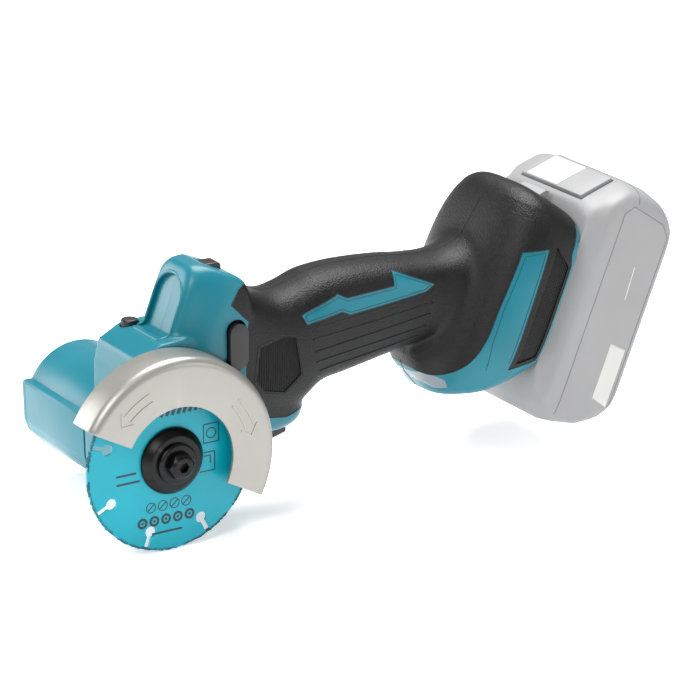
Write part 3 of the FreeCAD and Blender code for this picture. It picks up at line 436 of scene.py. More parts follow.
def design(co):
    """A place in the frame to design coordinates."""
    return (co - HUB) / MM


def foot_place(p):
    """Design point to foot coordinates (n, u)."""
    dx, dz = p.x - FOOT_X, p.z - FOOT_Z
    return (dx * math.cos(SLIDE) - dz * math.sin(SLIDE), dx * math.sin(SLIDE) + dz * math.cos(SLIDE))


# Flat frames (origin, across, up, out) that outlines are drawn in: the case's sides, the
# sloping front of the head, the case from above, and the battery's top.
SLOPE_FOOT = Vector((6.2, 27.0, 39.3))
SLOPE_UP = Vector((0.3645, 0.0, 0.9312))
SLOPE_OUT = Vector((-0.9312, 0.0, 0.3645))
SIDE_FRAME = (Vector((0, MIDDLE, 0)), Vector((1, 0, 0)), Vector((0, 0, 1)), Vector((0, 1, 0)))
SLOPE_FRAME = (SLOPE_FOOT, Vector((0, 1, 0)), SLOPE_UP, SLOPE_OUT)
DOWN_FRAME = (Vector((0, MIDDLE, 0)), Vector((1, 0, 0)), Vector((0, 1, 0)), Vector((0, 0, 1)))
TOP_FRAME = (Vector((FOOT_X, MIDDLE, FOOT_Z)), Vector((math.cos(SLIDE), 0, -math.sin(SLIDE))),
             Vector((0, 1, 0)), Vector((math.sin(SLIDE), 0, math.cos(SLIDE))))


CUT_REACH = 2.5         # how far past an outline's edge the skin is cut


def inside_outline(a, b, outline):
    """Whether a flat point lies inside a closed outline."""
    hit = False
    for i, (ax, ay) in enumerate(outline):
        bx, by = outline[(i + 1) % len(outline)]
        if (ay > b) != (by > b) and a < (bx - ax) * (b - ay) / (by - ay) + ax:
            hit = not hit
    return hit


def zone_faces(bm, outline, frame_axes, allowed):
    """Cut the case along an outline and return the faces inside it."""
    origin, across, up, out = frame_axes

    def spot(co):
        """Across, up and out of a place in the frame."""
        offset = design(co) - origin
        return offset.dot(across), offset.dot(up), offset.dot(out)

    def near(low, high):
        """Allowed faces whose middle lies in a flat box."""
        found = []
        for face in bm.faces:
            a, b, depth = spot(face.calc_center_median())
            if low[0] < a < high[0] and low[1] < b < high[1] and allowed(depth):
                found.append(face)
        return found

    for i, (ax, ay) in enumerate(outline):
        bx, by = outline[(i + 1) % len(outline)]
        edge = across * (bx - ax) + up * (by - ay)
        faces = near((min(ax, bx) - CUT_REACH, min(ay, by) - CUT_REACH),
                     (max(ax, bx) + CUT_REACH, max(ay, by) + CUT_REACH))
        geom = list({v for f in faces for v in f.verts}) + list({e for f in faces for e in f.edges}) + faces
        bmesh.ops.bisect_plane(bm, geom=geom, dist=1e-7, plane_co=at(*(origin + across * ax + up * ay)),
                               plane_no=edge.cross(out).normalized())
    xs = [p[0] for p in outline]
    ys = [p[1] for p in outline]
    return [f for f in near((min(xs), min(ys)), (max(xs), max(ys)))
            if inside_outline(*spot(f.calc_center_median())[:2], outline)]


def tilted_outline(points):
    """An outline in foot coordinates, as design X and Z."""
    return [tilted(n, u) for n, u in points]


# Outlines of the case's parts, seen from the side; the arch is drawn on the head's slope.
GRIP_ZONE = [(42.1, 90.0), (42.1, 64.5), (38.0, 62.4), (33.8, 56.4), (41.6, 48.3), (41.2, 43.7),
             (40.0, 26.2), (42.6, 12.0), (50.0, 4.6), (62.0, 2.0), (72.6, 3.4), (90.0, -10.0),
             (120.0, -40.0), (260.0, -40.0), (260.0, 90.0)]
BAND_EDGE = [tuple(p) for p in between_rows([(-60.0, -17.6), (-42.0, -18.8), (-35.5, -18.4), (-31.6, -14.8),
                                             (-28.4, -7.0), (-26.8, 4.0), (-26.4, 18.3), (-24.8, 43.0)], 5)]
BAND_ZONE = tilted_outline([(-24.8, 43.0), (-14.8, 47.6), (-13.8, -5.9), (-2.0, 1.0), (-2.0, 43.6),
                            (-3.4, 48.0), (-2.0, 60.0), (3.0, 60.0), (3.0, -40.0), (-60.0, -40.0)]
                           + BAND_EDGE[:-1])
LENS_ZONE = tilted_outline([(-39.5, -18.9), (-35.0, -18.7), (-31.5, -18.9), (-29.4, -21.6), (-31.2, -23.8),
                            (-36.5, -23.2), (-40.5, -20.8)])
INLAY = [(67.9, 45.5), (69.8, 41.5), (86.4, 44.2), (90.0, 42.4), (112.0, 44.2), (128.0, 45.4), (132.8, 47.7),
         (114.0, 56.0), (112.5, 50.4), (89.4, 49.4), (85.3, 51.6), (84.0, 50.8)]
PAD = [(46.6, 36.2), (58.0, 38.4), (63.7, 37.4), (66.5, 21.3), (58.8, 14.5), (48.6, 17.2), (44.6, 22.5)]
PANEL = tilted_outline([(-11.4, 49.6), (-3.2, 42.8), (-3.2, 2.4), (-11.6, -2.8)])
ARCH = [(-9.8, 5.2)]
ARCH += [(-9.8 * math.cos(t), 21.2 + 9.4 * math.sin(t)) for t in np.linspace(0, math.pi, 17)]
ARCH += [(9.8, 5.2)]
LEVER = [(35.8 + 4.7 * math.cos(t), 39.3 + (6.2 if math.sin(t) > 0 else -6.2) + 4.7 * math.sin(t))
         for t in np.linspace(0.13, 2 * math.pi + 0.13, 25)[:-1]]


# Cross sections of the battery rails' slot in the foot and of the seal that fills its top.
RAIL_SLOT = [(-14.4, -26.4), (-14.4, 26.4), (-6.8, 26.4), (-6.8, 22.5), (3.0, 22.5), (3.0, -22.5),
             (-6.8, -22.5), (-6.8, -26.4)]
SEAL_SECTION = [(-14.1, -26.1), (-14.1, 26.1), (-7.1, 26.1), (-7.1, 22.2), (0.4, 22.2), (0.4, -22.2),
                (-7.1, -22.2), (-7.1, -26.1)]
SEAL_FROM, SLOT_FROM, SLOT_TO = 56.0, -12.0, 90.0
HUB_HOLLOW_R, GUARD_HOLLOW_R = 13.2, 45.6
KNOB_X, KNOB_Y, KNOB_HOLE_R = 5.0, 41.2, 4.1


def openings():
    """The hollows that moving parts go into."""
    bm = bmesh.new()
    upright_block(bm, (29.1, 37.9), (22.3, 31.7), (54.0, 90.0))     # lock-off button
    upright_block(bm, (42.6, 68.4), (19.6, 34.4), (-30.0, 12.0))    # trigger
    slide_prism(bm, RAIL_SLOT, SLOT_FROM, SLOT_TO)
    knob = circle_points(KNOB_X, KNOB_Y, KNOB_HOLE_R, 32)
    rows_to_mesh(bm, [[at(x, y, z) for x, y in knob] for z in (40.4, 52.0)])
    prism(bm, circle_points(0.0, 0.0, HUB_HOLLOW_R, 64), 4.0, 13.0)
    prism(bm, circle_points(0.0, 0.0, GUARD_HOLLOW_R, 128), -20.0, 8.5)
    return cutter_from(bm, "openings")


def pushed(bm, faces, move):
    """Move a zone as one block, with walls left round it."""
    made = bmesh.ops.extrude_face_region(bm, geom=faces)
    moved = [g for g in made["geom"] if isinstance(g, bmesh.types.BMVert)]
    bmesh.ops.translate(bm, verts=moved, vec=move * MM)
    bmesh.ops.delete(bm, geom=[f for f in faces if f.is_valid], context="FACES_ONLY")


def rail_seal(bm):
    """The black seal over the rails' top, which follows the pommel and slides off with the battery."""
    cut = bmesh.new()
    slide_prism(cut, SEAL_SECTION, SEAL_FROM, SLOT_TO)
    made = carved(bm.copy(), "seal", "INTERSECT", cutter_from(cut, "seal_cut"))
    crisp(made, 38)
    return finish_mesh(made, "rail_seal", "battery", ["black_rubber"])


CASE_VOXEL = 0.95       # grain of the blended skin
SOFTEN_ALL, SOFTEN_NECK = 5, 34
FACING = 6.0            # a side face lies at least this far from the middle plane
GRIP, BAND, INLAY_NEAR, INLAY_FAR, PAD_NEAR, PAD_FAR, PANEL_NEAR, PANEL_FAR = range(1, 9)
LEVER_POCKET, LENS, ARCH_FIELD = range(9, 12)
HEAD = 0
ZONE_SLOTS = {
    HEAD: "teal_plastic", GRIP: "black_rubber", BAND: "teal_plastic",
    INLAY_NEAR: "teal_plastic", INLAY_FAR: "teal_plastic",
    PAD_NEAR: "ribbed_rubber", PAD_FAR: "ribbed_rubber",
    PANEL_NEAR: "ribbed_panel", PANEL_FAR: "ribbed_panel",
    LEVER_POCKET: "black_plastic", LENS: "lens_clear", ARCH_FIELD: "teal_plastic",
}
ZONE_MOVES = (
    (LEVER_POCKET, Vector((0, 7.0, 0))), (ARCH_FIELD, -SLOPE_OUT * 1.7),
    (PANEL_NEAR, Vector((0, 0.5, 0))), (PANEL_FAR, Vector((0, -0.5, 0))),
    (PAD_NEAR, Vector((0, 0.4, 0))), (PAD_FAR, Vector((0, -0.4, 0))),
)
# Piece name: its zones, the CAD nodes it stands for, and its material.
CASE_PIECES = {
    "case_head": ((HEAD, LEVER_POCKET, ARCH_FIELD), ("head_shell_left", "head_shell_right"), "teal_plastic"),
    "case_grip": ((GRIP, PAD_NEAR, PAD_FAR, PANEL_NEAR, PANEL_FAR), ("grip_shell_left", "grip_shell_right"),
                  "black_rubber"),
    "case_band": ((BAND,), ("foot_band_left", "foot_band_right"), "teal_plastic"),
    "case_inlays": ((INLAY_NEAR, INLAY_FAR), ("grip_inlay_left", "grip_inlay_right"), "teal_plastic"),
    "case_lens": ((LENS,), ("lamp_lens",), "lens_clear"),
}


def anywhere(depth):
    """Faces on both sides of the case."""
    return True


def near_side(depth):
    """Faces on the wheel's side."""
    return depth < -FACING


def far_side(depth):
    """Faces on the side away from the wheel."""
    return depth > FACING


def on_slope(depth):
    """Faces close to the head's sloping front."""
    return -3.6 < depth < 2.2


def neck(co):
    """The places where handle, foot and collar run into each other."""
    p = design(co)
    n, u = foot_place(p)
    return 135.0 < p.x and n < -17.0 and -16.0 < u < 62.0 or 48.0 < p.x < 86.0 and -6.0 < p.z < 24.0


def marked_zones(bm):
    """Cut every outline into the case; faces keep their zone's number."""
    layer = bm.faces.layers.int.new("zone")
    for number, outline, axes, allowed in (
            (GRIP, GRIP_ZONE, SIDE_FRAME, anywhere), (BAND, BAND_ZONE, SIDE_FRAME, anywhere),
            (LENS, LENS_ZONE, SIDE_FRAME, anywhere),
            (INLAY_NEAR, INLAY, SIDE_FRAME, near_side), (INLAY_FAR, INLAY, SIDE_FRAME, far_side),
            (PAD_NEAR, PAD, SIDE_FRAME, near_side), (PAD_FAR, PAD, SIDE_FRAME, far_side),
            (PANEL_NEAR, PANEL, SIDE_FRAME, near_side), (PANEL_FAR, PANEL, SIDE_FRAME, far_side),
            (LEVER_POCKET, LEVER, SIDE_FRAME, near_side), (ARCH_FIELD, ARCH, SLOPE_FRAME, on_slope)):
        for face in zone_faces(bm, outline, axes, allowed):
            face[layer] = number
    groups = {}
    for face in bm.faces:
        groups.setdefault(face[layer], []).append(face)
    return groups


def build_case():
    """Blend the case's volumes into one skin, open it, and part it into its pieces."""
    bm = applied(case_solid(), "case", [("REMESH", {"mode": "VOXEL", "voxel_size": CASE_VOXEL * MM})])
    smoothed(bm, lambda co: True, SOFTEN_ALL)
    smoothed(bm, neck, SOFTEN_NECK)
    rail_seal(bm)
    bm = carved(bm, "case", "DIFFERENCE", openings())
    groups = marked_zones(bm)
    for number, move in ZONE_MOVES:
        if groups.get(number):
            pushed(bm, groups[number], move)
    bm.normal_update()
    whole = bpy.data.meshes.new("whole_case")
    bm.to_mesh(whole)
    tree = BVHTree.FromBMesh(bm)
    bm.free()
    for name, (numbers, nodes, slot) in CASE_PIECES.items():
        part = bmesh.new()
        part.from_mesh(whole)
        layer = part.faces.layers.int["zone"]
        drop = [f for f in part.faces if f[layer] not in numbers]
        bmesh.ops.delete(part, geom=drop, context="FACES")
        if not part.faces:
            continue
        mats = sorted({ZONE_SLOTS[n] for n in numbers}, key=lambda m: (m != slot, m))
        for face in part.faces:
            face.material_index = mats.index(ZONE_SLOTS[face[layer]])
        crisp(part, 38)
        finish_mesh(part, name, "housing", mats, replace=nodes)
    bpy.data.meshes.remove(whole)
    return tree


def resampled(points, closed, spacing=0.9):
    """The outline with extra points, at most about a spacing apart."""
    out = []
    count = len(points)
    for i in range(count if closed else count - 1):
        a = Vector(points[i])
        b = Vector(points[(i + 1) % count])
        parts = max(1, int((b - a).length / spacing))
        out += [a.lerp(b, k / parts) for k in range(parts)]
    if not closed:
        out.append(Vector(points[-1]))
    return out


def shrunk(outline, amount):
    """The outline moved inwards by an amount."""
    area = sum(a[0] * b[1] - b[0] * a[1] for a, b in zip(outline, outline[1:] + outline[:1]))
    turn = 1.0 if area > 0 else -1.0
    count = len(outline)
    out = []
    for i in range(count):
        p, q, r = (Vector(outline[(i + k - 1) % count]) for k in range(3))
        e1 = (q - p).normalized()
        e2 = (r - q).normalized()
        n1 = Vector((-e1.y, e1.x)) * turn
        n2 = Vector((-e2.y, e2.x)) * turn
        mid = (n1 + n2)
        mid = mid / max(0.5, mid.length_squared / 2)
        out.append(tuple(q + mid * amount))
    return out


class Lines:
    """Thin beads laid on a surface, gathered into one piece."""

    def __init__(self, tree):
        self.tree = tree
        self.runs = []

    def lay(self, points, frame_axes, start, closed=False, lift=0.0, span=60.0):
        """Project points from a plane at distance start onto the surface."""
        origin, across, up, out = frame_axes
        heading = out * (-1.0 if start > 0 else 1.0)
        run = []
        runs = []
        for p in resampled(points, closed):
            source = origin + across * p.x + up * p.y + out * start
            hit, normal, _, _ = self.tree.ray_cast(at(*source), heading, span * MM)
            if hit is None or run and (hit - run[-1]).length > 3.0 * MM:
                if len(run) > 2:
                    runs.append(run)
                run = []
            if hit is not None:
                run.append(hit + normal * lift * MM)
        if closed and not runs and len(run) > 2:
            run.append(run[0])
        if len(run) > 2:
            runs.append(run)
        self.runs += runs

    def make(self, name, body, mat, radius):
        """Turn the gathered runs into round beads of one material."""
        bm = bmesh.new()
        for run in self.runs:
            rings = []
            for i, p in enumerate(run):
                along = run[min(i + 1, len(run) - 1)] - run[max(i - 1, 0)]
                if along.length < 1e-9:
                    continue
                along.normalize()
                if rings:
                    side = (last - along * last.dot(along)).normalized()
                else:
                    side = along.orthogonal().normalized()
                last = side
                other = along.cross(side)
                rings.append([p + (side * math.cos(t) + other * math.sin(t)) * radius * MM
                              for t in np.linspace(0, 2 * math.pi, 7)[:-1]])
            if len(rings) > 1:
                rows_to_mesh(bm, rings)
        bmesh.ops.recalc_face_normals(bm, faces=bm.faces)
        return finish_mesh(bm, name, body, [mat])


# ------------------------------------------------------------------ build
# Outline of the foot band's inner groove, and the beads moulded along the grip.
BAND_GROOVE = tilted_outline([(-22.4, -9.0), (-24.6, 3.0), (-24.9, 18.0), (-23.4, 41.8), (-16.0, 45.8),
                              (-15.1, -3.0)])
GRIP_BEADS = (((72.2, 34.9), (130.9, 40.3)), ((73.5, 29.4), (129.8, 35.7)),
              ((74.0, 24.8), (128.1, 30.5)), ((76.3, 20.4), (124.4, 26.1)))
GRIP_BORDER = ((76.0, 17.4), (72.6, 22.0), (70.4, 36.4), (74.0, 39.6), (131.0, 45.0))

case_tree = build_case()
seams = Lines(case_tree)
fine = Lines(case_tree)
beads = Lines(case_tree)
rim = Lines(case_tree)
for start in (-60.0, 60.0):
    seams.lay(INLAY, SIDE_FRAME, start, True)
    fine.lay(shrunk(INLAY, 1.1), SIDE_FRAME, start, True)
    fine.lay(BAND_GROOVE, SIDE_FRAME, start)
    seams.lay(BAND_ZONE[:8], SIDE_FRAME, start)
    seams.lay(BAND_ZONE[10:] + BAND_ZONE[:1], SIDE_FRAME, start)
    seams.lay(GRIP_ZONE[:12], SIDE_FRAME, start)
    for line in GRIP_BEADS:
        beads.lay(line, SIDE_FRAME, start, lift=-0.1)
    beads.lay(GRIP_BORDER, SIDE_FRAME, start, lift=-0.35)
    beads.lay(shrunk(PAD, -1.0), SIDE_FRAME, start, True, lift=-0.3)
parting = Lines(case_tree)
parting.lay(((42.5, 0.0), (175.0, 0.0)), DOWN_FRAME, 100.0)
parting.lay(((78.0, 0.0), (150.0, 0.0)), DOWN_FRAME, -60.0, span=90.0)
fine.lay(((-0.9, 5.6), (-0.5, 27.4)), SLOPE_FRAME, 12.0, lift=-0.1)
fine.lay(shrunk(ARCH, 0.5), SLOPE_FRAME, 12.0, True, lift=-0.1)
rim.lay(shrunk(ARCH, -0.7), SLOPE_FRAME, 12.0, True, lift=-0.25)
parting.make("case_parting", "housing", "cavity_dark", 0.16)
seams.make("case_seams", "housing", "seam_dark", 0.2)
fine.make("case_fine_seams", "housing", "seam_dark", 0.13)
beads.make("grip_beads", "housing", "black_rubber", 0.5)
rim.make("slope_rim", "housing", "teal_plastic", 0.75)


# ------------------------------------------------------------------ battery case
# Sections of the battery: n, lowest u, highest u, half width.
BATTERY_ROWS = [(0.9, -7.0, 69.0, 30.0), (1.6, -9.0, 70.6, 32.4), (4.4, -14.6, 73.3, 33.4),
                (6.4, -17.8, 75.0, 34.6), (8.2, -19.8, 76.5, 36.4), (9.6, -20.8, 77.7, 37.4),
                (12.5, -22.8, 80.2, 37.5), (17.0, -25.3, 83.9, 37.5), (22.0, -25.3, 84.6, 37.5),
                (31.0, -24.3, 83.6, 37.5), (37.0, -21.8, 81.6, 37.5), (40.0, -20.0, 79.6, 37.5),
                (42.6, -17.2, 76.9, 37.5), (43.8, -15.5, 75.2, 37.4), (44.6, -13.4, 72.8, 36.9),
                (45.0, -12.2, 71.6, 36.2)]
CROWN_TOP, CROWN_FOOT = -4.8, 4.2           # how far top and underside fall off at the sides
SHOULDER_N, SHOULDER_U = 1.0, 70.5          # where the sloping shoulder starts
SHOULDER_COS, SHOULDER_SIN = 0.764, 0.645   # its direction in foot coordinates
RAIL_FOOT, RAIL_BRIDGE, RAIL_TOP = -2.0, 26.0, 55.6    # the rails join above the terminals
RAIL_HALF, NECK_HALF, TERMINAL_HALF = 26.0, 22.0, 17.0


def shoulder_block(bm, s0, s1, t0, t1, y0, y1):
    """A block along the battery's shoulder: s up the slope, t down into the battery."""
    corners = []
    for t in (t1, t0):
        for s, y in ((s0, y0), (s1, y0), (s1, y1), (s0, y1)):
            x, z = tilted(SHOULDER_N + SHOULDER_COS * s + SHOULDER_SIN * t,
                          SHOULDER_U + SHOULDER_SIN * s - SHOULDER_COS * t)
            corners.append((x, y, z))
    block(bm, corners)


def battery_case():
    """The grey shell with the key's seat and the rails that slide into the foot."""
    bm = bmesh.new()
    rows = []
    for n, low, high, half in BATTERY_ROWS:
        row = []
        for a, b in oval(half, low, high, 20.0, 200):
            crown = (abs(a) / half) ** 3
            b += (CROWN_TOP if b > (low + high) / 2 else CROWN_FOOT) * crown
            x, z = tilted(n, b)
            row.append(at(x, MIDDLE + a, z))
        rows.append(row)
    rows_to_mesh(bm, rows)
    bmesh.ops.recalc_face_normals(bm, faces=bm.faces)
    seat = bmesh.new()
    shoulder_block(seat, 1.5, 19.5, -3.0, 4.4, MIDDLE - 22.4, MIDDLE + 22.4)
    bm = carved(bm, "battery", "DIFFERENCE", cutter_from(seat, "seat"))
    for n0, n1, half in ((-14.0, -7.2, RAIL_HALF), (-7.4, 1.5, NECK_HALF)):
        tilted_block(bm, n0, n1, MIDDLE - half, MIDDLE - TERMINAL_HALF, RAIL_FOOT, RAIL_BRIDGE)
        tilted_block(bm, n0, n1, MIDDLE + TERMINAL_HALF, MIDDLE + half, RAIL_FOOT, RAIL_BRIDGE)
        tilted_block(bm, n0, n1, MIDDLE - half, MIDDLE + half, RAIL_BRIDGE, RAIL_TOP)
    bmesh.ops.recalc_face_normals(bm, faces=bm.faces)
    tree = BVHTree.FromBMesh(bm)
    crisp(bm, 34)
    finish_mesh(bm, "battery_shell", "battery", ["battery_grey"],
                replace=("battery_case_front", "battery_case_rear"))
    return tree


def shoulder_key(s_range, t_range, y_range, soft):
    """A block on the battery's shoulder with rounded edges."""
    bm = bmesh.new()
    shoulder_block(bm, *s_range, *t_range, *y_range)
    bmesh.ops.recalc_face_normals(bm, faces=bm.faces)
    return applied(bm, "key", [("BEVEL", {"width": soft * MM, "segments": 3})])


def release_button():
    """Grey key on the battery's slope with its white pad."""
    body = shoulder_key((2.0, 19.0), (-0.4, 2.4), (MIDDLE - 21.8, MIDDLE + 21.8), 0.35)
    finish_mesh(body, "release_key", "battery_button", ["battery_grey"],
                replace=("battery_release_button",))
    pad = shoulder_key((2.4, 18.6), (-0.75, 0.4), (23.0, 45.0), 0.3)
    finish_mesh(pad, "release_pad", "battery_button", ["label_white"])


# The battery's moulded outline and the place and spacing of its printed hatching.
BATTERY_OUTLINE = tilted_outline([(16.0, -19.0), (16.0, 71.0), (20.0, 75.0), (38.0, 71.0), (42.4, 66.0),
                                  (42.4, -11.0), (38.0, -16.4)])
HATCH_LINES, HATCH_FROM, HATCH_STEP = 22, 32.4, 0.39

battery_tree = battery_case()
release_button()
grooves = Lines(battery_tree)
stripes = Lines(battery_tree)
for start in (-70.0, 70.0):
    grooves.lay(BATTERY_OUTLINE[:3], SIDE_FRAME, start)
    grooves.lay(tilted_outline([(22.0, 76.5), (22.0, 90.0)]), SIDE_FRAME, start)
    grooves.lay(BATTERY_OUTLINE[2:6], SIDE_FRAME, start)
    for k in range(HATCH_LINES):
        n = HATCH_FROM + HATCH_STEP * k
        ends = tilted_outline([(n, -8.2 - 0.12 * k), (n, 16.5 - 0.05 * k)])
        stripes.lay(ends, SIDE_FRAME, start, lift=-0.08)
    stripes.lay(tilted_outline([(31.4, 36.0), (30.5, 50.6)]), SIDE_FRAME, start, lift=-0.08)
grooves.lay([(22.0, -36.0), (22.0, 36.0)], TOP_FRAME, 110.0)
grooves.make("battery_grooves", "battery", "grey_line", 0.2)
stripes.make("battery_stripe", "battery", "label_white", 0.24)


# ------------------------------------------------------------------ wheel print, grit and guard marks
wheel_low, wheel_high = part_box("cutting_wheel")
WHEEL_FACE = (wheel_low.y - HUB.y) / MM
GUARD_FACE = (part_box("wheel_guard")[0].y - HUB.y) / MM
PRINT_THICK = 0.05      # the print on the wheel
MARK_THICK = 0.4        # the raised marks on the guard
STROKE, BOLD_STROKE = 0.5, 0.9
RING_R, RING_PITCH = 2.3, 5.4
ARROW_R, SHAFT_HALF, HEAD_HALF = 33.5, 1.9, 3.9     # the guard's arrows, from the wheel's axis
# Straight strokes of the wheel's print: x and z of both ends.
STROKES = ((15.0, 12.0, 22.0, 12.0), (22.0, 12.0, 22.0, 4.0), (22.0, 4.0, 15.0, 4.0),
           (15.0, 4.0, 15.0, 12.0), (13.0, 0.0, 20.0, 0.0), (20.0, 0.0, 20.0, -8.0),
           (20.0, -8.0, 13.0, -8.0), (15.0, -1.5, 18.0, -1.5), (18.0, -1.5, 18.0, -5.0),
           (-25.0, -2.4, -16.0, -2.4), (-25.0, -6.0, -14.4, -6.0), (-9.4, -30.0, 4.4, -30.0))
SLOT_ANGLES = (-45.0, -85.0, -133.0, 180.0, 0.0, 45.0, 90.0, 135.0)
SLOT_HALF_ANGLE = 0.045
GRIT_R, GRAINS = 37.45, 420


def disc(bm, x, z, r, y, thick, inner=0.0, count=32):
    """A thin printed disc or ring on the wheel's face."""
    circle = circle_points(0.0, 0.0, 1.0, count)
    outer = [[bm.verts.new(at(x + r * c, y - k, z + r * s)) for c, s in circle] for k in (0.0, thick)]
    if inner:
        hole = [[bm.verts.new(at(x + inner * c, y - k, z + inner * s)) for c, s in circle]
                for k in (0.0, thick)]
        for i in range(count):
            j = (i + 1) % count
            bm.faces.new((outer[1][i], outer[1][j], hole[1][j], hole[1][i]))
            bm.faces.new((outer[0][i], outer[0][j], outer[1][j], outer[1][i]))
            bm.faces.new((hole[1][i], hole[1][j], hole[0][j], hole[0][i]))
    else:
        bm.faces.new(outer[1])
        for i in range(count):
            j = (i + 1) % count
            bm.faces.new((outer[0][i], outer[0][j], outer[1][j], outer[1][i]))


def bar(bm, x0, z0, x1, z1, width, y, thick):
    """A thin printed stroke on a face that looks along Y."""
    along = Vector((x1 - x0, z1 - z0))
    side = Vector((-along.y, along.x)).normalized() * width / 2
    ends = [(x0 - side.x, z0 - side.y), (x1 - side.x, z1 - side.y),
            (x1 + side.x, z1 + side.y), (x0 + side.x, z0 + side.y)]
    block(bm, [(x, y, z) for x, z in ends] + [(x, y - thick, z) for x, z in ends])


def wheel_print():
    """Plain rings, strokes and bars printed round the wheel's centre."""
    bm = bmesh.new()
    y = WHEEL_FACE + 0.01
    for k in range(4):
        x = -9.6 + RING_PITCH * k
        disc(bm, x, -18.6, RING_R, y, PRINT_THICK, 1.9)
        bar(bm, x - 1.4, -19.8, x + 1.4, -17.4, STROKE, y, PRINT_THICK)
    for k in range(5):
        x = -13.6 + RING_PITCH * k
        disc(bm, x, -24.6, RING_R, y, PRINT_THICK, 1.2)
        disc(bm, x, -24.6, 0.6, y, PRINT_THICK)
    for x0, z0, x1, z1 in STROKES:
        bar(bm, x0, z0, x1, z1, STROKE if x0 > 0 else BOLD_STROKE, y, PRINT_THICK)
    disc(bm, 18.5, 8.0, 2.4, y, PRINT_THICK, 1.9)
    for k in range(9):
        x = -7.0 + 2.6 * k
        bar(bm, x, 19.0, x + 1.6, 22.6, 1.5, y, PRINT_THICK)
    bmesh.ops.recalc_face_normals(bm, faces=bm.faces)
    finish_mesh(bm, "wheel_print", "arbor", ["print_dark"], smooth=False)


def wheel_rim_grit():
    """Rough grains along the rim, left out at its slots."""
    bm = bmesh.new()
    random = np.random.default_rng(7)
    half = (wheel_high.y - wheel_low.y) / 2 / MM
    slots = [math.radians(a) for a in SLOT_ANGLES]
    for k in range(GRAINS):
        t = 2 * math.pi * (k + 0.6 * random.random()) / GRAINS
        if any(abs((t - a + math.pi) % (2 * math.pi) - math.pi) < SLOT_HALF_ANGLE for a in slots):
            continue
        r = GRIT_R + 0.35 * random.random()
        size = 0.35 + 0.3 * random.random()
        verts = []
        for sx in (-1, 1):
            for sy in (-1, 1):
                for sz in (-1, 1):
                    w = 0.6 + 0.4 * random.random()
                    outward = r + sz * size * w
                    round_rim = sx * size * w * 1.1
                    sideways = sy * (half + 0.12) * (0.7 + 0.3 * random.random())
                    verts.append(bm.verts.new(at(outward * math.cos(t) - round_rim * math.sin(t), sideways,
                                                 outward * math.sin(t) + round_rim * math.cos(t))))
        bmesh.ops.convex_hull(bm, input=verts)
    bmesh.ops.recalc_face_normals(bm, faces=bm.faces)
    finish_mesh(bm, "wheel_rim_grit", "arbor", ["wheel_grit"], smooth=False)


def guard_marks():
    """Raised arrows along the guard that show which way the wheel turns."""
    bm = bmesh.new()
    y = GUARD_FACE + 0.15

    def arc(a0, a1, r):
        """One bent stroke between two angles."""
        steps = 14
        points = [(r * math.cos(math.radians(a0 + (a1 - a0) * k / steps)),
                   r * math.sin(math.radians(a0 + (a1 - a0) * k / steps))) for k in range(steps + 1)]
        for (x0, z0), (x1, z1) in zip(points, points[1:]):
            bar(bm, x0, z0, x1, z1, STROKE, y, MARK_THICK)

    for start, end, tip in ((112, 134, 1), (18, 40, -1)):
        arc(start, end, ARROW_R - SHAFT_HALF)
        arc(start, end, ARROW_R + SHAFT_HALF)
        edge = math.radians(end + 7 if tip > 0 else start - 7)
        side = math.radians(end if tip > 0 else start)
        tip_x, tip_z = ARROW_R * math.cos(edge), ARROW_R * math.sin(edge)
        for r in (ARROW_R - HEAD_HALF, ARROW_R + HEAD_HALF):
            bar(bm, r * math.cos(side), r * math.sin(side), tip_x, tip_z, STROKE, y, MARK_THICK)
    bmesh.ops.recalc_face_normals(bm, faces=bm.faces)
    finish_mesh(bm, "guard_arrows", "guard", ["guard_metal"], smooth=False)


def springs():
    """Return springs of the trigger, lock-off button and shaft lock, copied in spring steel onto the housing.
    """
    for node, joint, travel, fixed_top in (("trigger_spring", "trigger_pull", 3.0, True),
                                           ("lock_off_spring", "lock_off_press", 2.5, False),
                                           ("shaft_lock_spring", "shaft_lock_press", 2.0, False)):
        coil = bpy.data.objects.new(node.replace("spring", "coil"), frame["nodes"][node].data.copy())
        coil.data.materials.clear()
        coil.data.materials.append(MATS["spring_steel"])
        coil.data.polygons.foreach_set("use_smooth", [True] * len(coil.data.polygons))
        bpy.context.scene.collection.objects.link(coil)
        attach(coil, "housing")
        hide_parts(node)
        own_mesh(coil)


wheel_print()
wheel_rim_grit()
guard_marks()
springs()


# ------------------------------------------------------------------ CAD nodes
SLOT_OF = {entry["node"]: entry["material_slot"] for entry in frame["record"]["subparts"]}
SOFT_EDGES = {"motor_housing": 0.5, "motor_end_cap": 0.4,
              "trigger": 0.3, "direction_lever": 0.6, "battery_release_button": 0.4, "clamp_bolt": 0.25,
              "outer_flange": 0.25, "clamp_washer": 0.2, "lamp_lens": 0.6, "gear_housing": 0.3,
              "gear_cover_plate": 0.3, "wheel_guard": 0.25}
for name, node in frame["nodes"].items():
    node.data.materials.clear()
    node.data.materials.append(MATS[SLOT_OF[name]])
    node.data.polygons.foreach_set("use_smooth", [True] * len(node.data.polygons))
    weld = node.modifiers.new("weld", "WELD")
    weld.merge_threshold = 1e-6
    if name in SOFT_EDGES:
        bevel = node.modifiers.new("soft_edges", "BEVEL")
        bevel.width = SOFT_EDGES[name] * MM
        bevel.segments = 3
        bevel.limit_method = "ANGLE"
        bevel.angle_limit = math.radians(32)
        bevel.harden_normals = False
    split = node.modifiers.new("crisp", "EDGE_SPLIT")
    split.split_angle = math.radians(34)


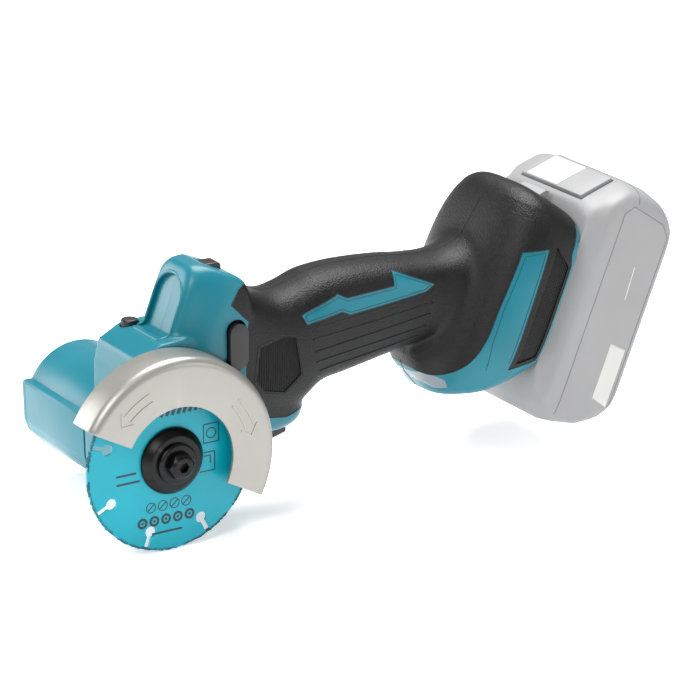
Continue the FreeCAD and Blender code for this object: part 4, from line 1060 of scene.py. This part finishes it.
# ------------------------------------------------------------------ stage
def area_light(name, place, aim, size, power, color=(1, 1, 1)):
    """A square lamp aimed at a place."""
    data = bpy.data.lights.new(name, "AREA")
    data.energy = power
    data.size = size
    data.color = color
    lamp = bpy.data.objects.new(name, data)
    lamp.location = place
    lamp.rotation_euler = (Vector(aim) - Vector(place)).to_track_quat("-Z", "Y").to_euler()
    bpy.context.scene.collection.objects.link(lamp)


floor_mesh = bpy.data.meshes.new("floor")
bm = bmesh.new()
bmesh.ops.create_grid(bm, x_segments=2, y_segments=2, size=6.0)
bm.to_mesh(floor_mesh)
bm.free()
floor = bpy.data.objects.new("floor", floor_mesh)
floor.location = (0, 0, -0.0006)
floor_mesh.materials.append(surface("floor_pale", linear(252, 252, 252), 0.7, grain=60, bump=0.01, vary=0.004,
                                    wear=0.0, emission=0.4))
bpy.context.scene.collection.objects.link(floor)

world = bpy.data.worlds.new("studio")
world.use_nodes = True
world.node_tree.nodes["Background"].inputs["Color"].default_value = (1.0, 1.0, 1.0, 1.0)
world.node_tree.nodes["Background"].inputs["Strength"].default_value = 0.42
bpy.context.scene.view_settings.view_transform = "Standard"
bpy.context.scene.world = world
area_light("key", (-0.9, -0.5, 0.9), (-0.05, 0, 0.05), 0.6, 9)
area_light("top", (0.25, 0.25, 1.2), (0.03, 0, 0.05), 0.8, 24)
area_light("rim", (-0.85, 1.15, 0.35), (0, 0, 0.08), 0.7, 9)
area_light("side", (0.7, -1.0, 0.5), (0.05, 0, 0.06), 0.6, 2.5)

# A long lens, to the left of the wheel's axis and a little above.
VIEW_SIDE, VIEW_UP = math.radians(32.158), math.radians(19.209)
toward = Vector((-math.sin(VIEW_SIDE) * math.cos(VIEW_UP), -math.cos(VIEW_SIDE) * math.cos(VIEW_UP),
                 math.sin(VIEW_UP)))
camera_data = bpy.data.cameras.new("camera")
camera_data.sensor_width = 36.0
camera_data.lens = 185.05
camera_data.clip_end = 50.0
camera = bpy.data.objects.new("camera", camera_data)
camera.location = at(-650.2, -1167.3, 512.1)
camera.rotation_euler = (-toward).to_track_quat("-Z", "Y").to_euler()
bpy.context.scene.collection.objects.link(camera)
bpy.context.scene.camera = camera
